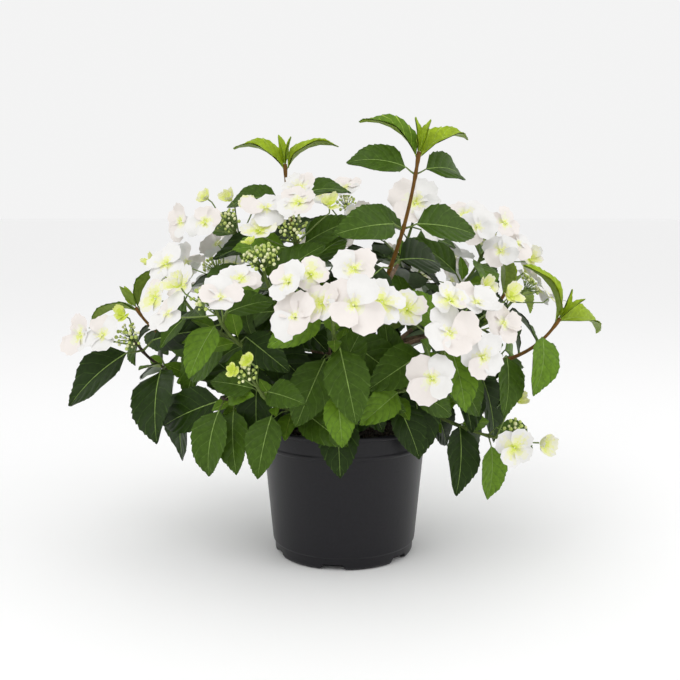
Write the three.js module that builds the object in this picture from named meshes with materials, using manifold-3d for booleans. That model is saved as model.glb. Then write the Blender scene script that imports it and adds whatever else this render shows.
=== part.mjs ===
// Lacecap hydrangea shrub in its nursery pot. Millimetres, +Z up, origin at the centre of the pot's flat
// underside. The shrub is a clump: a short woody crown stands on the compost, boughs rise from it, and each
// bough's tip carries one mass, which is a leafy stem with opposite pairs of leaves, side twigs and, on most,
// a flat flower head.
import * as THREE from 'three';
import { mergeVertices } from 'three/addons/utils/BufferGeometryUtils.js';
import Module from 'manifold-3d';

const wasm = await Module();
wasm.setup();

// Clearances
const GAP = 0.3; // between two solids that meet
const CLEAR = 1.7; // least distance from a leaf, flower or twig to another mass
const SAMPLE_STEP = 3; // between the points of a leaf that are tested against the pot

// Pot: a round tapered tub with a stepped foot, a rim band and drainage notches in the foot
const POT_HEIGHT = 149;
const POT_SIDES = 24;
const FOOT_RADIUS = 78;
const FOOT_HEIGHT = 14;
const FOOT_ROUND = 4;
const WALL_FOOT_RADIUS = 80.5;
const WALL_TOP_RADIUS = 90.5;
const WALL_THICKNESS = 1.8;
const POT_INNER_RADIUS = 87; // the mouth, where the wall meets the compost
const FLOOR_THICKNESS = 8;
const BAND_BOTTOM = 124;
const BAND_RADIUS = 92.6;
const RIM_RADIUS = 96;
const LIP_HEIGHT = 4.5;
const LIP_STEP = 1;
const NOTCHES = 6;
const NOTCH_FIRST = -99; // degrees round from +X
const NOTCH_WIDTH = 30;
const NOTCH_TOP_WIDTH = 21;
const NOTCH_HEIGHT = 6.5;
const NOTCH_DEPTH = 14;

// Compost and woody crown
const COMPOST_TOP = 137;
const COMPOST_CROWN = 4; // how far its middle stands above its edge
const CROWN_HEIGHT = 34;
const CROWN_FLARE_RADIUS = 23;
const CROWN_WAIST_RADIUS = 14;
const CROWN_TOP_RADIUS = 11;
const CROWN_LEVELS = [[0, CROWN_FLARE_RADIUS], [0.12, 19], [0.4, CROWN_WAIST_RADIUS],
  [0.8, CROWN_WAIST_RADIUS - 1], [1, CROWN_TOP_RADIUS]]; // share of its height, radius
const CROWN_LEAN = [4, -3]; // how far its top leans along X and Y
const CROWN_SIDES = 12;

// Limbs, as radii
const BOUGH_FOOT_RADIUS = 3.5;
const FORK_FOOT_RADIUS = 2.8;
const STEM_FOOT_RADIUS = 2.2;
const STEM_TIP_RADIUS = 1.6;
const TWIG_RADIUS = 1.5;
const RAY_RADIUS = 1.1;
const BOUGH_SIDES = 5;
const STEM_SIDES = 4;
const TWIG_SIDES = 3;
const SEGMENT_LENGTH = 36; // along a bending limb
const HANDLE = 0.4; // how far a limb keeps its first and last direction, as a share of its chord
const STEM_SPARE = 14; // bare stem below the lowest pair of leaves
const LEAST_BOUGH = 0.25; // of a shoot's length, however many leaves its mass has
const LOW_RISE = 50; // a shoot that rises less steeply has no bough: its mass starts on the woody crown
const LOW_SPRING = [9, 14]; // where low shoots spring: how far out and how high over the compost
const HIGH_SPRING = [5, 25];
const FORK_KEEP = 0.6; // a fork keeps some of its parent's direction
const FORK_TURN = 0.7;
const ARRIVAL = [0.6, 0.5, 0.2]; // how far a stem reaches its head along the head's face, upward and outward
const ARCHED_ARRIVAL = [0.6, -0.2, 0.8];

// Leaves: opposite pairs. An age counts pairs down from the tip of the stem.
const LEAF_WIDTH = 0.6; // of its length
const LEAF_THICKNESS = 1.5;
const LEAF_FOLD = 14; // degrees that each half rises from the midrib
const YOUNG_LEAF_WIDTH = 0.42;
const YOUNG_LEAF_FOLD = 30;
const LEAF_STATIONS = [0.16, 0.42, 0.74];
const SMALL_LEAF_STATIONS = [0.24, 0.6];
const SMALL_LEAF = 82;
const PETIOLE_SHARE = 0.2; // of the leaf's length
const YOUNG_PETIOLE_SHARE = 0.07;
const PETIOLE_RADIUS = 1.3;
const ROOT_SINK = 0.9; // how far past the stem's axis a leaf stalk starts
const LIGHT_PULL = 0.8; // how far a blade turns its face to the light
const YOUNG_LIGHT_PULL = 0.5;
const SKY_LIGHT = 0.6; // light from above, from outside the shrub and, on its front, from ahead
const SIDE_LIGHT = 0.4;
const FRONT_LIGHT = 0.75;
const FRONT_END = 60; // heads beyond this along Y get no light from ahead
const LEAF_TURNS = [0, 20, -20, 42, -42]; // degrees round the stem that a leaf tries before it is left out
const LEAFY_AGES = { length: [33, 70, 62, 76, 80], open: [8, 30, 62, 68, 72], curl: [12, 84, 58, 30, 28] };
const LEAFY_PAIRS = [2, 5, 30, 50, 44];
const FLOWERING_AGES = { length: [60, 74, 80, 80], open: [62, 68, 72, 74], curl: [34, 34, 30, 28] };
const FLOWERING_PAIRS = [12, 32, 36, 36];
const HANG_STEP = 0.06; // how much further each older pair hangs
const MOST_HANG = 0.75;
const YOUNG_HANG = 0.3; // of the hang of the older leaves on the same shoot
const SIZE_SPREAD = 0.14; // of a leaf's length, from the least to the most
const ROLL_SPREAD = 16; // degrees round the stem

// Flower heads
const HEAD_DROP = 34; // from the florets' plane down to where the rays part
const HEAD_REACH = 40; // from the middle of an ordinary head to its edge
const HEAD_DOME = 7; // how far the edge of a head lies behind its middle
const FLORET_TILT = 0.24;
const FLORET_LEAN = 0.24; // how far a floret leans its own way
const LEAN_TURNS = 4; // turns a floret's quarter of spin into a full circle of leaning
const FLORET_LIFTS = [0, 5, -5, 10, -10]; // tried in turn, so that florets lie over one another
const RAY_STEP = 2.6; // between the feet of two rays down the stem
const FLORET_THICKNESS = 1.6;
const SEPALS = 4;
const FLORET_NOTCH = 0.78; // depth between two sepals, of the floret's radius
const SEPAL_SHOULDER = 24; // degrees from a sepal's middle to its shoulders
const BUD_SIDES = 5;
const BUD_LEVELS = [[0, 0.3], [0.6, 1], [1.1, 0.6]]; // height and width of the cushion, of the buds' radius
const BUD_DROP = 1.2; // how far the foot of the buds lies behind the florets, of the buds' radius
const NECK_SINK = 3;
const NECK_RISE = 0.3; // how far the stem's tip stands into the buds, of their radius
const YOUNG_FLORET = 38; // a floret narrower than this is young and cupped
const YOUNG_CUP = 0.45;
const OPEN_CUP = 0.08;

// Side twigs, each with one pair of leaves
const TWIG_CHANCE = 0.19;
const TWIG_LENGTH = 46;
const TWIG_LEAF = { length: 46, open: 48, curl: 40, hang: 0.1, below: 0.06 };
const TWIG_TAPER = 0.8;
const TWIG_ALONG = 0.75; // a twig's direction, along its stem and out of it
const TWIG_OUT = 0.65;
const TWIG_STEP = 20; // no twig grows where two pairs of leaves lie closer than this

// One row for each mass: where its bough springs from, how steeply it rises, where its head or tip lies and
// which way that faces. Florets are [clock angle in degrees, reach from the head's middle, width], as seen by
// one who faces the head.
const SHOOTS = [
  { name: 'front_head', rise: 66, at: [-11, -205, 307], face: [0, -0.84, 0.55], roll: 0, turn: 112,
    hang: 0.42, seed: 11, florets: [[-120, 39, 48], [-135, 14, 40], [130, 24, 56], [-75, 41, 44],
      [-42, 29, 38], [35, 33, 46], [92, 44, 44]], buds: 10 },
  { name: 'right_head', rise: 60, at: [114, -160, 273], face: [0.25, -0.85, 0.45], roll: 60, hang: 0.38,
    seed: 12, florets: [[35, 29, 54], [-115, 21, 56], [-142, 58, 50], [82, 47, 46], [-32, 27, 38],
      [-65, 56, 42], [150, 33, 48], [38, 58, 32], [60, 68, 32]], buds: 14 },
  { name: 'left_head', rise: 62, at: [-131, -150, 306], face: [-0.2, -0.65, 0.72], roll: 88, hang: 0.42,
    seed: 13, florets: [[-125, 42, 46], [-98, 24, 36], [-30, 19, 36], [55, 34, 44], [125, 26, 48]],
    buds: 18 },
  { name: 'tall_right_tip', rise: 74, at: [72, -118, 438], face: [0.12, -0.05, 1], roll: -30, turn: 12,
    hang: 0.06, seed: 14, leafy: true, twigs: 0, pairs: [2, 5, 13, 54, 48] },
  { name: 'top_head', rise: 78, at: [-53, -70, 368], face: [0, -0.84, 0.52], roll: 40, hang: 0.1,
    seed: 15, florets: [[-52, 36, 50], [17, 20, 43], [55, 46, 30], [8, 44, 40], [-100, 34, 38]],
    buds: 16 },
  { name: 'tall_left_tip', rise: 82, at: [-65, 14, 433], face: [-0.02, 0.02, 1], roll: 90, turn: 10, hang: 0,
    seed: 23, leafy: true, twigs: 0, pairs: [2, 5, 32, 44] },
  { name: 'upper_left_head', rise: 72, at: [-130, -10, 374], face: [-0.25, -0.85, 0.45], roll: 15,
    hang: 0.15, seed: 16, florets: [[-88, 58, 48], [-110, 21, 44], [-46, 38, 28], [9, 22, 31],
      [54, 29, 28]], buds: 14 },
  { name: 'far_left_head', rise: 38, at: [-233, -45, 251], face: [-0.15, -0.9, 0.42], roll: 78,
    hang: 0.3, seed: 17, florets: [[-88, 57, 48], [-96, 25, 48], [-8, 20, 28]], buds: 15,
    pairs: [12, 38, 38], aged: 1, scale: 1.22 },
  { name: 'right_back_head', rise: 68, at: [166, 15, 350], face: [0.2, -0.82, 0.55], roll: 0, hang: 0.2,
    seed: 18, florets: [[-30, 44, 52], [-58, 22, 50], [165, 18, 44], [96, 30, 43], [42, 26, 40],
      [104, 52, 34]], buds: 13 },
  { name: 'back_left_head', rise: 62, at: [-165, 130, 322], face: [-0.5, 0.5, 0.7], roll: 30, hang: 0.3,
    seed: 19, count: 6, spread: 38, buds: 15 },
  { name: 'back_head', rise: 66, at: [-30, 195, 318], face: [-0.1, 0.75, 0.65], roll: 0, hang: 0.35,
    seed: 20, count: 7, spread: 42, buds: 13 },
  { name: 'back_right_head', rise: 60, at: [108, 172, 325], face: [0.4, 0.7, 0.6], roll: 60, hang: 0.35,
    seed: 21, count: 6, spread: 40, buds: 15 },

  { name: 'top_right_head', on: 'tall_right_tip', along: 0.62, at: [84, 48, 390],
    face: [0.1, -0.72, 0.68], roll: 70, hang: 0.1, seed: 22, florets: [[-140, 6, 66], [150, 40, 42]],
    buds: 9, pairs: [22, 40] },
  { name: 'green_bud_head', on: 'top_head', along: 0.45, at: [-84, -104, 343], face: [-0.1, -0.6, 0.8],
    roll: 70, hang: 0.2, seed: 24, florets: [[-80, 9, 20]], buds: 20, pairs: [16, 40] },
  { name: 'left_mid_head', on: 'left_head', along: 0.75, at: [-189, -62, 318], face: [-0.45, -0.5, 0.72],
    roll: 20, hang: 0.3, seed: 25, florets: [[-65, 39, 28], [30, 8, 44], [105, 40, 42], [158, 34, 38]],
    buds: 15, pairs: [26, 36] },
  { name: 'right_tip', on: 'right_head', along: 0.6, at: [226, -62, 270], face: [0.5, 0, 0.86], roll: 90,
    turn: 35, hang: 0.5, seed: 26, leafy: true, pairs: [2, 5, 26, 46] },
  { name: 'right_side_head', on: 'right_back_head', along: 0.6, at: [225, 62, 300],
    face: [0.75, 0.1, 0.6], roll: 10, hang: 0.3, seed: 27, count: 5, spread: 34, buds: 14,
    pairs: [20, 38] },
  { name: 'back_top_head', on: 'back_head', along: 0.65, at: [4, 92, 396], face: [0.05, -0.7, 0.7],
    roll: 30, hang: 0.1, seed: 28, florets: [[-3, 22, 48], [155, 30, 38], [-67, 32, 40]], buds: 13,
    pairs: [20, 40] },
  { name: 'back_left_tip', on: 'back_left_head', along: 0.65, at: [-248, 78, 268],
    face: [-0.5, 0.15, 0.85], roll: 15, hang: 0.25, seed: 29, leafy: true, pairs: [2, 5, 32, 42] },
  { name: 'back_right_tip', on: 'back_right_head', along: 0.65, at: [205, 150, 280],
    face: [0.5, 0.3, 0.8], roll: 15, hang: 0.25, seed: 30, leafy: true, pairs: [2, 5, 32, 42] },

  { name: 'low_left_buds', rise: 38, at: [-96, -160, 232], face: [-0.3, -0.7, 0.6], roll: 0, hang: 0.14,
    seed: 31, florets: [[60, 9, 22], [-110, 10, 20]], buds: 13, pairs: [12, 30, 34, 36], scale: 0.85 },
  { name: 'low_front_leaves', rise: 46, at: [-8, -146, 214], face: [0.1, -0.9, 0.35], roll: 90,
    hang: 0.2, seed: 32, leafy: true, aged: 2, pairs: [3, 26, 32, 32], scale: 0.9 },
  { name: 'low_front_right_leaves', rise: 42, at: [60, -120, 204], face: [0.4, -0.9, 0.3], roll: 20,
    hang: 0.2, seed: 33, leafy: true, aged: 2, pairs: [3, 26, 30, 30], scale: 0.85 },
  { name: 'low_right_head', rise: 48, arch: true, at: [182, -84, 155], face: [0.35, -0.82, 0.45], roll: 80,
    hang: 0.5, seed: 34, florets: [[-150, 20, 42], [122, 28, 36], [14, 34, 26]], buds: 14,
    pairs: [16, 36, 40] },
  { name: 'low_left_leaves', rise: 34, at: [-124, -100, 192], face: [-0.5, -0.8, 0.25], roll: 90,
    hang: 0.1, seed: 35, leafy: true, aged: 2, twigs: 0, pairs: [3, 14, 34], scale: 1.12 },
  { name: 'low_right_leaves', rise: 42, at: [180, 14, 220], face: [0.85, -0.3, 0.4], roll: 0, hang: 0.35,
    seed: 38, leafy: true, aged: 2, twigs: 0, pairs: [4, 30, 36], scale: 1.1 },
  { name: 'low_back_left_leaves', rise: 38, at: [-115, 140, 205], face: [-0.5, 0.8, 0.3], roll: 0,
    hang: 0.35, seed: 36, leafy: true, aged: 2, twigs: 0, pairs: [4, 30, 34] },
  { name: 'low_back_right_leaves', rise: 38, at: [90, 160, 205], face: [0.4, 0.85, 0.3], roll: 90,
    hang: 0.35, seed: 37, leafy: true, aged: 2, twigs: 0, pairs: [4, 30, 34] },
];

const POT_BLACK = '#2c2b30';
const COMPOST_BROWN = '#231c18';
const BARK_BROWN = '#6b4a2e';
const GREEN = '#3f6a2a';
const FRESH_GREEN = '#6f9c2f';

// Small vector helpers
const vec = (x, y, z) => new THREE.Vector3(x, y, z);
const UP = vec(0, 0, 1);
const DOWN = vec(0, 0, -1);
const AHEAD = vec(0, -1, 0);
const radians = THREE.MathUtils.degToRad;

function mix(...parts) {
  const sum = vec(0, 0, 0);
  parts.forEach(([vector, share]) => sum.addScaledVector(vector, share));
  return sum;
}

function squareTo(vector, axis) {
  return mix([vector, 1], [axis, -vector.dot(axis)]).normalize();
}

// A small generator of even random numbers from 0 to 1, the same for the same seed
function seeded(seed) {
  let state = seed >>> 0;
  return () => {
    state = (state + 0x6d2b79f5) >>> 0;
    let mixed = Math.imul(state ^ (state >>> 15), 1 | state);
    mixed = (mixed + Math.imul(mixed ^ (mixed >>> 7), 61 | mixed)) ^ mixed;
    return ((mixed ^ (mixed >>> 14)) >>> 0) / 4294967296;
  };
}

// Solids
function solidOf(geometry) {
  geometry.deleteAttribute('normal');
  geometry.deleteAttribute('uv');
  const merged = mergeVertices(geometry);
  const corners = Array.from(merged.index.array);
  const kept = [];
  for (let i = 0; i < corners.length; i += 3) {
    const [a, b, c] = corners.slice(i, i + 3);
    if (a !== b && b !== c && c !== a) kept.push(a, b, c);
  }
  const mesh = new wasm.Mesh({
    numProp: 3,
    vertProperties: new Float32Array(merged.attributes.position.array),
    triVerts: new Uint32Array(kept),
  });
  return new wasm.Manifold(mesh);
}

// A closed solid through rings that hold the same number of points, each ring running the same way round
function loftTriangles(rings) {
  const size = rings[0].length;
  const corners = [];
  for (let ring = 1; ring < rings.length; ring += 1) {
    const [from, to] = [rings[ring - 1], rings[ring]];
    for (let i = 0; i < size; i += 1) {
      const next = (i + 1) % size;
      corners.push([from[i], from[next], to[next]], [from[i], to[next], to[i]]);
    }
  }
  const [first, last] = [rings[0], rings.at(-1)];
  for (let i = 1; i < size - 1; i += 1) {
    corners.push([first[0], first[i + 1], first[i]], [last[0], last[i], last[i + 1]]);
  }
  return corners;
}

function loft(rings) {
  const geometry = new THREE.BufferGeometry();
  geometry.setFromPoints(loftTriangles(rings).flat());
  return solidOf(geometry);
}

function ringAt(centre, side, above, radius, sides) {
  return Array.from({ length: sides }, (_, i) => {
    const angle = (i / sides) * 2 * Math.PI;
    return mix([centre, 1], [side, radius * Math.cos(angle)], [above, radius * Math.sin(angle)]);
  });
}

// A tapering limb follows a curve from share `from` to share `to` in straight pieces, with its rings kept
// to `across`.
function limbPieces(curve, from, to) {
  return Math.max(1, Math.round((curve.getLength() * (to - from)) / SEGMENT_LENGTH));
}

function limbRings(curve, from, to, footRadius, tipRadius, sides, across) {
  const count = limbPieces(curve, from, to);
  return Array.from({ length: count + 1 }, (_, i) => {
    const t = from + ((to - from) * i) / count;
    const along = curve.getTangent(t);
    const side = squareTo(across, along);
    const above = along.clone().cross(side);
    const radius = footRadius + ((tipRadius - footRadius) * i) / count;
    return ringAt(curve.getPoint(t), side, above, radius, sides);
  });
}

// The point at share t of the curve, on the axis of the straight pieces between `from` and `to`
function limbPoint(curve, from, to, t) {
  const count = limbPieces(curve, from, to);
  const place = ((t - from) / (to - from)) * count;
  const piece = Math.min(Math.max(Math.floor(place), 0), count - 1);
  const at = (i) => curve.getPoint(from + ((to - from) * i) / count);
  return at(piece).lerp(at(piece + 1), place - piece);
}

function straightRings(foot, tip, footRadius, tipRadius, sides) {
  const along = tip.clone().sub(foot).normalize();
  const side = squareTo(Math.abs(along.x) < 0.8 ? vec(1, 0, 0) : vec(0, 1, 0), along);
  const above = along.clone().cross(side);
  return [ringAt(foot, side, above, footRadius, sides), ringAt(tip, side, above, tipRadius, sides)];
}

// Space: every limb, leaf and flower that is placed is kept here, and a new one is tested against the others
const taken = [];

function hold(owner, kind, triangles) {
  const ball = new THREE.Box3().setFromPoints(triangles.flat()).getBoundingSphere(new THREE.Sphere());
  taken.push({ owner, kind, triangles, ball });
}

const closest = vec(0, 0, 0);
const triangle = new THREE.Triangle();
const ray = new THREE.Ray();

function crosses(edgeFrom, edgeTo, face) {
  const length = edgeFrom.distanceTo(edgeTo);
  ray.origin.copy(edgeFrom);
  ray.direction.copy(edgeTo).sub(edgeFrom).divideScalar(length);
  const hit = ray.intersectTriangle(face[0], face[1], face[2], false, closest);
  return hit && closest.distanceTo(edgeFrom) <= length;
}

function near(faceA, faceB) {
  triangle.set(faceB[0], faceB[1], faceB[2]);
  return faceA.some((corner) => triangle.closestPointToPoint(corner, closest).distanceTo(corner) < CLEAR);
}

function meets(faceA, faceB) {
  if (near(faceA, faceB) || near(faceB, faceA)) return true;
  return [0, 1, 2].some((i) => crosses(faceA[i], faceA[(i + 1) % 3], faceB)
    || crosses(faceB[i], faceB[(i + 1) % 3], faceA));
}

// True if a point lies in the pot, its compost or the woody crown, or nearer to them than CLEAR
function inPot(point) {
  const reach = Math.hypot(point.x, point.y);
  if (point.z > COMPOST_TOP + CROWN_HEIGHT + CLEAR || reach > RIM_RADIUS + CLEAR) return false;
  if (reach < CROWN_FLARE_RADIUS + CLEAR) return true;
  if (point.z > POT_HEIGHT + CLEAR) return false;
  const slope = (WALL_TOP_RADIUS - WALL_FOOT_RADIUS) / BAND_BOTTOM;
  const outer = point.z > BAND_BOTTOM - 2 * CLEAR ? RIM_RADIUS : WALL_FOOT_RADIUS + slope * point.z;
  return reach < outer + CLEAR && (reach > POT_INNER_RADIUS - CLEAR || point.z < COMPOST_TOP + CLEAR);
}

function meetsPot(face) {
  const longest = Math.max(...face.map((corner, i) => corner.distanceTo(face[(i + 1) % 3])));
  const steps = Math.ceil(longest / SAMPLE_STEP);
  for (let i = 0; i <= steps; i += 1) {
    for (let j = 0; i + j <= steps; j += 1) {
      const shares = [i / steps, j / steps, (steps - i - j) / steps];
      if (inPot(mix([face[0], shares[0]], [face[1], shares[1]], [face[2], shares[2]]))) return true;
    }
  }
  return false;
}

// True if these triangles keep clear of all that is placed. Stems, stalks and the young leaves at the tip
// of the same mass may touch.
function clear(owner, kind, triangles) {
  const ball = new THREE.Box3().setFromPoints(triangles.flat()).getBoundingSphere(new THREE.Sphere());
  const potNear = ball.center.z - ball.radius < COMPOST_TOP + CROWN_HEIGHT + CLEAR;
  if (potNear && triangles.some(meetsPot)) return false;
  return !taken.some((other) => {
    if (other.owner === owner && kind !== 'leaf' && other.kind !== 'leaf') return false;
    if (ball.center.distanceTo(other.ball.center) > ball.radius + other.ball.radius + CLEAR) return false;
    return triangles.some((a) => other.triangles.some((b) => meets(a, b)));
  });
}

// Leaves
function leafShape(u) {
  return Math.sin(Math.PI * u ** 0.75) ** 0.85;
}

// The frame of a leaf that leaves its stem at `root`: `round` points out of the stem, square to `along`
function leafFrame(root, along, round, light, length, open, curl, hang, young) {
  const away = mix([along, Math.cos(open)], [round, Math.sin(open)]);
  const base = mix([root, 1], [away, length * (young ? YOUNG_PETIOLE_SHARE : PETIOLE_SHARE)]);
  const forward = mix([away, 1 - hang], [DOWN, hang]).normalize();
  const inner = mix([along, Math.sin(open)], [round, -Math.cos(open)]);
  const pull = young ? YOUNG_LIGHT_PULL : LIGHT_PULL;
  const face = squareTo(mix([inner, 1 - pull], [light, pull]), forward);
  const left = face.clone().cross(forward);
  const width = young ? YOUNG_LEAF_WIDTH : LEAF_WIDTH;
  const fold = radians(young ? YOUNG_LEAF_FOLD : LEAF_FOLD);
  return { root, base, forward, left, face, length, width, fold, curl: Math.max(curl, 0.01) };
}

// A point of the blade: u runs from its base to its tip, v from its left edge at -1 to its right edge at 1
function bladePoint(leaf, u, v) {
  const bend = leaf.curl * u;
  const reach = (leaf.length * Math.sin(bend)) / leaf.curl;
  const fall = (leaf.length * (1 - Math.cos(bend))) / leaf.curl;
  const width = 0.5 * leaf.length * leaf.width * leafShape(u) * v;
  const normal = mix([leaf.forward, Math.sin(bend)], [leaf.face, Math.cos(bend)]);
  return mix([leaf.base, 1], [leaf.forward, reach], [leaf.face, -fall],
    [leaf.left, -width * Math.cos(leaf.fold)], [normal, Math.abs(width) * Math.sin(leaf.fold)]);
}

function leafRings(leaf) {
  const radius = PETIOLE_RADIUS;
  const along = leaf.base.clone().sub(leaf.root).normalize();
  const side = squareTo(leaf.left, along);
  const above = along.clone().cross(side);
  const start = mix([leaf.root, 1], [along, ROOT_SINK]);
  const edge = mix([start, 1], [side, -radius], [above, radius * 0.5]);
  const root = [mix([start, 1], [side, radius], [above, radius * 0.5]), edge, edge,
    mix([start, 1], [above, -radius])];
  const rim = mix([leaf.base, 1], [leaf.left, -radius * 1.6], [leaf.face, radius * 0.3]);
  const neck = [mix([leaf.base, 1], [leaf.left, radius * 1.6], [leaf.face, radius * 0.3]), rim, rim,
    mix([leaf.base, 1], [leaf.face, -radius])];
  const stations = leaf.length < SMALL_LEAF ? SMALL_LEAF_STATIONS : LEAF_STATIONS;
  const body = stations.map((u) => {
    const bend = leaf.curl * u;
    const normal = mix([leaf.forward, Math.sin(bend)], [leaf.face, Math.cos(bend)]);
    const middle = bladePoint(leaf, u, 0);
    const keel = mix([middle, 1], [normal, -LEAF_THICKNESS * (1.2 - 0.5 * u)]);
    return [bladePoint(leaf, u, -1), middle, bladePoint(leaf, u, 1), keel];
  });
  const tip = bladePoint(leaf, 1, 0);
  return [root, neck, ...body, [tip, tip, tip, tip]];
}

// Adds one leaf to a mass, turned a little round its stem where its own place is taken, or leaves it out
function growLeaf(mass, root, along, side, roll, length, open, curl, hang, young = false) {
  const above = along.clone().cross(side);
  return LEAF_TURNS.some((turn) => {
    const angle = radians(roll + turn);
    const round = mix([side, Math.cos(angle)], [above, Math.sin(angle)]);
    const leaf = leafFrame(root, along, round, mass.light, length, radians(open), radians(curl), hang, young);
    const rings = leafRings(leaf);
    const blade = loftTriangles(rings.slice(1)).slice(0, -2);
    const stalk = loftTriangles(rings.slice(0, 2)).slice(0, 8);
    const kind = young ? 'sprout' : 'leaf';
    if (!clear(mass.name, kind, blade) || !clear(mass.name, 'twig', stalk)) return false;
    hold(mass.name, kind, blade);
    hold(mass.name, 'twig', stalk);
    mass.solids.push(loft(rings));
    mass.leaves += 1;
    return true;
  });
}

// Flowers: a floret of four sepals on its stalk, which widens into the floret's underside
function floretRings(foot, centre, normal, spin, radius, cup) {
  const side = squareTo(Math.abs(normal.z) < 0.9 ? UP : vec(0, -1, 0), normal);
  const above = normal.clone().cross(side);
  const around = (middle, degrees, reach, rise) => mix([middle, 1],
    [side, reach * Math.cos(radians(degrees))], [above, reach * Math.sin(radians(degrees))], [normal, rise]);
  const rim = [];
  for (let sepal = 0; sepal < SEPALS; sepal += 1) {
    const middle = spin + sepal * 90;
    [[-SEPAL_SHOULDER, 1], [SEPAL_SHOULDER, 1], [45, FLORET_NOTCH]].forEach(([offset, share]) => {
      rim.push(around(centre, middle + offset, radius * share, radius * share * cup));
    });
  }
  const stalk = (middle, reach) => rim.map((_, i) => (
    around(middle, spin + Math.floor(i / SEPALS) * 120, reach, 0)));
  const under = mix([centre, 1], [normal, -FLORET_THICKNESS]);
  return [stalk(foot, RAY_RADIUS), stalk(under, RAY_RADIUS), rim, rim.map(() => centre)];
}

// A domed cushion of fertile buds on the end of the stem
function budRings(foot, normal, radius) {
  const side = squareTo(Math.abs(normal.z) < 0.9 ? UP : vec(0, -1, 0), normal);
  const above = normal.clone().cross(side);
  return BUD_LEVELS.map(([height, share]) => (
    ringAt(mix([foot, 1], [normal, height * radius]), side, above, radius * share, BUD_SIDES)));
}

function headFlorets(shoot, random) {
  if (shoot.florets) return shoot.florets;
  const first = random() * 360;
  return Array.from({ length: shoot.count }, (_, i) => [
    first + (i * 360) / shoot.count + (random() - 0.5) * 30,
    shoot.spread * (0.75 + 0.4 * random()),
    40 + 14 * random(),
  ]);
}

const stemPoint = (mass, t) => limbPoint(mass.curve, mass.stemStart, 1, t);

function growHead(mass) {
  const { shoot, random } = mass;
  const face = mass.face;
  const right = UP.clone().cross(face).normalize();
  const high = face.clone().cross(right);
  const budFoot = mix([mass.head, 1], [face, -shoot.buds * BUD_DROP]);
  const bud = budRings(budFoot, face, shoot.buds);
  const length = mass.curve.getLength();
  const neckFoot = stemPoint(mass, 1 - NECK_SINK / length);
  const neckTip = mix([budFoot, 1], [face, shoot.buds * NECK_RISE]);
  const neck = straightRings(neckFoot, neckTip, STEM_TIP_RADIUS, STEM_TIP_RADIUS, TWIG_SIDES);
  mass.solids.push(loft(bud), loft(neck));
  hold(mass.name, 'twig', loftTriangles(bud));
  headFlorets(shoot, random).forEach(([clock, reach, width], index) => {
    const spin = random() * 90;
    const angle = radians(clock);
    const round = mix([right, Math.sin(angle)], [high, Math.cos(angle)]);
    const share = reach / HEAD_REACH;
    const lean = radians(spin * LEAN_TURNS);
    const normal = mix([face, 1], [round, FLORET_TILT * share], [right, FLORET_LEAN * Math.cos(lean)],
      [high, FLORET_LEAN * Math.sin(lean)]).normalize();
    const cup = width < YOUNG_FLORET ? YOUNG_CUP : OPEN_CUP;
    const foot = stemPoint(mass, 1 - (RAY_STEP * (index + 0.6)) / length);
    FLORET_LIFTS.some((lift) => {
      const centre = mix([mass.head, 1], [round, reach], [face, lift - HEAD_DOME * share * share]);
      const floret = floretRings(foot, centre, normal, spin, width / 2, cup);
      const petals = loftTriangles(floret.slice(2)).slice(0, 2 * floret[2].length);
      const stalk = loftTriangles(straightRings(foot, floret[1][0], RAY_RADIUS, RAY_RADIUS, TWIG_SIDES));
      if (!clear(mass.name, 'leaf', petals) || !clear(mass.name, 'twig', stalk)) return false;
      hold(mass.name, 'leaf', petals);
      hold(mass.name, 'twig', stalk);
      mass.solids.push(loft(floret));
      mass.florets += 1;
      return true;
    });
  });
}

// The curve of a shoot, from where it springs to the top of its stem
function shootCurve(shoot, parent) {
  const head = vec(...shoot.at);
  const face = vec(...shoot.face).normalize();
  const outward = vec(shoot.at[0], shoot.at[1], 0).normalize();
  const top = shoot.leafy ? head : mix([head, 1], [face, -HEAD_DROP]);
  let foot;
  let leave;
  if (parent) {
    const share = parent.split * shoot.along;
    foot = limbPoint(parent.curve, 0, parent.split, share);
    leave = mix([parent.curve.getTangent(share), FORK_KEEP], [top.clone().sub(foot).normalize(), FORK_TURN])
      .normalize();
  } else {
    const [away, rise] = shoot.rise < LOW_RISE ? LOW_SPRING : HIGH_SPRING;
    foot = mix([outward, away], [UP, COMPOST_TOP + rise]);
    leave = mix([outward, Math.cos(radians(shoot.rise))], [UP, Math.sin(radians(shoot.rise))]);
  }
  const [forward, upward, out] = shoot.arch ? ARCHED_ARRIVAL : ARRIVAL;
  const arrive = shoot.leafy ? face : mix([face, forward], [UP, upward], [outward, out]).normalize();
  const chord = foot.distanceTo(top);
  const curve = new THREE.CubicBezierCurve3(foot, mix([foot, 1], [leave, chord * HANDLE]),
    mix([top, 1], [arrive, -chord * HANDLE]), top);
  return { head, face, outward, curve };
}

// Plans: curves, where each bough ends and its mass begins, and the space that limbs take
const masses = SHOOTS.map((shoot) => ({ shoot, name: shoot.name, solids: [], leaves: 0, florets: 0 }));
const named = Object.fromEntries(masses.map((mass) => [mass.name, mass]));

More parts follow.
